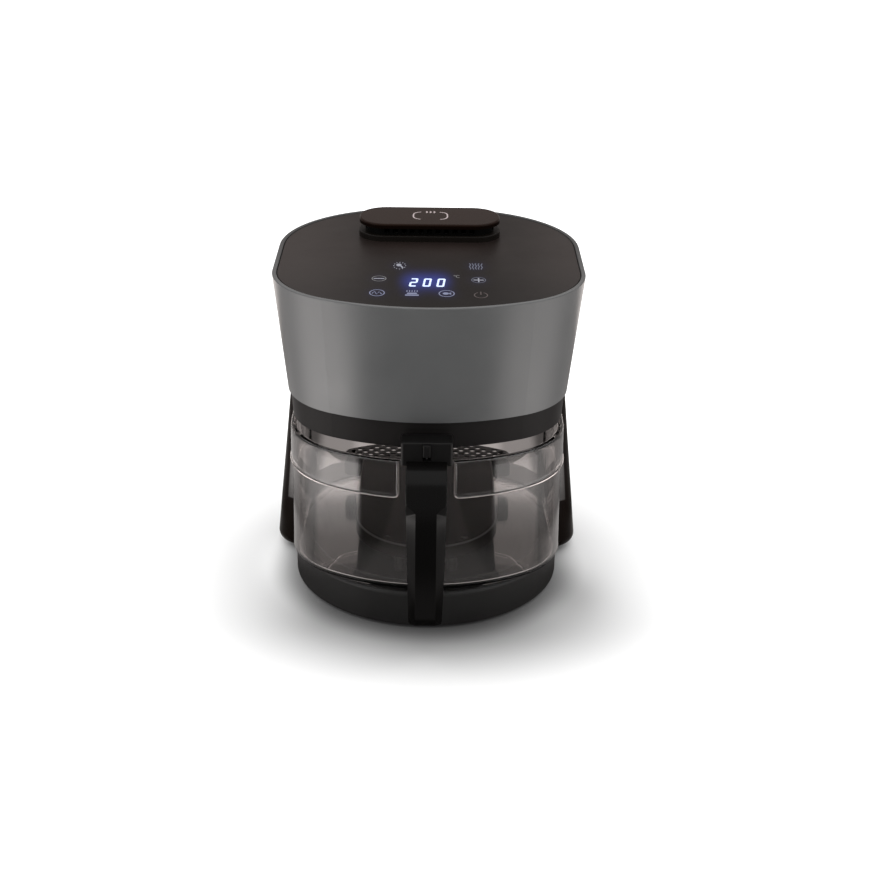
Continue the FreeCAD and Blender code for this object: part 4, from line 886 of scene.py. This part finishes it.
# the floor as seen through the glass, dimmer outside the arms
through, nt, em = lamp_sheet("floor_through", [(-13, -13, -0.002), (13, -13, -0.002), (13, 13, -0.002), (-13, 13, -0.002)], ("transmission",))
geo = nt.nodes.new("ShaderNodeTexCoord")
sx = nt.nodes.new("ShaderNodeSeparateXYZ")
nt.links.new(geo.outputs["Object"], sx.inputs[0])
bx = mth("ABSOLUTE", sx.outputs["X"])
rearward = mth("MULTIPLY", smooth(sx.outputs["Y"], 0.21, 0.25), mth("SUBTRACT", smooth(bx, 0.078, 0.092, 1.22, 0.78), 1.0))
nt.links.new(mth("MULTIPLY", smooth(bx, 0.122, 0.142, 0.36, 0.11), mth("ADD", rearward, 1.0)), em.inputs["Strength"])
em.inputs["Color"].default_value = (1.0, 0.93, 0.90, 1)

w = bpy.data.worlds.new("studio")
SC.world = w
w.use_nodes = True
bg = w.node_tree.nodes["Background"]
bg.inputs["Color"].default_value = (1, 0.995, 0.99, 1)
bg.inputs["Strength"].default_value = 0.50


def area(name, loc, target, sx_, sy_, radiance, colour=(1, 1, 1)):
    l = bpy.data.lights.new(name, "AREA")
    l.shape = "RECTANGLE"
    l.size, l.size_y = sx_, sy_
    l.energy = radiance * math.pi * sx_ * sy_
    l.color = colour
    o = bpy.data.objects.new(name, l)
    SC.collection.objects.link(o)
    o.location = loc
    o.rotation_mode = "QUATERNION"
    o.rotation_quaternion = (Vector(target) - Vector(loc)).to_track_quat("-Z", "Y")
    return o


area("ceiling", (0, 1.0, 2.6), (0, 1.0, 0), 6.0, 6.4, 1.25)
area("soft_left", (-1.5, -0.9, 1.0), (0, 0, 0.15), 1.0, 1.2, 1.6)
area("soft_right", (1.5, -0.9, 1.0), (0, 0, 0.15), 1.0, 1.2, 1.2)

# ------------------------------------------------------------------ camera
AZ, EL, ROLL = math.radians(-0.17), math.radians(24.37), math.radians(0.70)
fwd = Vector((-math.sin(AZ) * math.cos(EL), math.cos(AZ) * math.cos(EL), -math.sin(EL)))
rt = fwd.cross(Vector((0, 0, 1))).normalized()
up = rt.cross(fwd)
cr = rt * math.cos(ROLL) + up * math.sin(ROLL)
cu = up * math.cos(ROLL) - rt * math.sin(ROLL)
cam_data = bpy.data.cameras.new("camera")
cam_data.sensor_fit = "HORIZONTAL"
cam_data.sensor_width = 36.0
cam_data.lens = 1615.02 / 870.0 * 36.0
cam_data.clip_start, cam_data.clip_end = 0.05, 60.0
cam_data.dof.use_dof = False
cam = bpy.data.objects.new("camera", cam_data)
SC.collection.objects.link(cam)
loc = Vector(P(7.37, 0, 131.79)) - fwd * 1.56174
back_v = -fwd
cam.matrix_world = Matrix(((cr.x, cu.x, back_v.x, loc.x), (cr.y, cu.y, back_v.y, loc.y), (cr.z, cu.z, back_v.z, loc.z), (0, 0, 0, 1)))
SC.camera = cam
SC.view_settings.view_transform = "Standard"
SC.view_settings.look = "None"
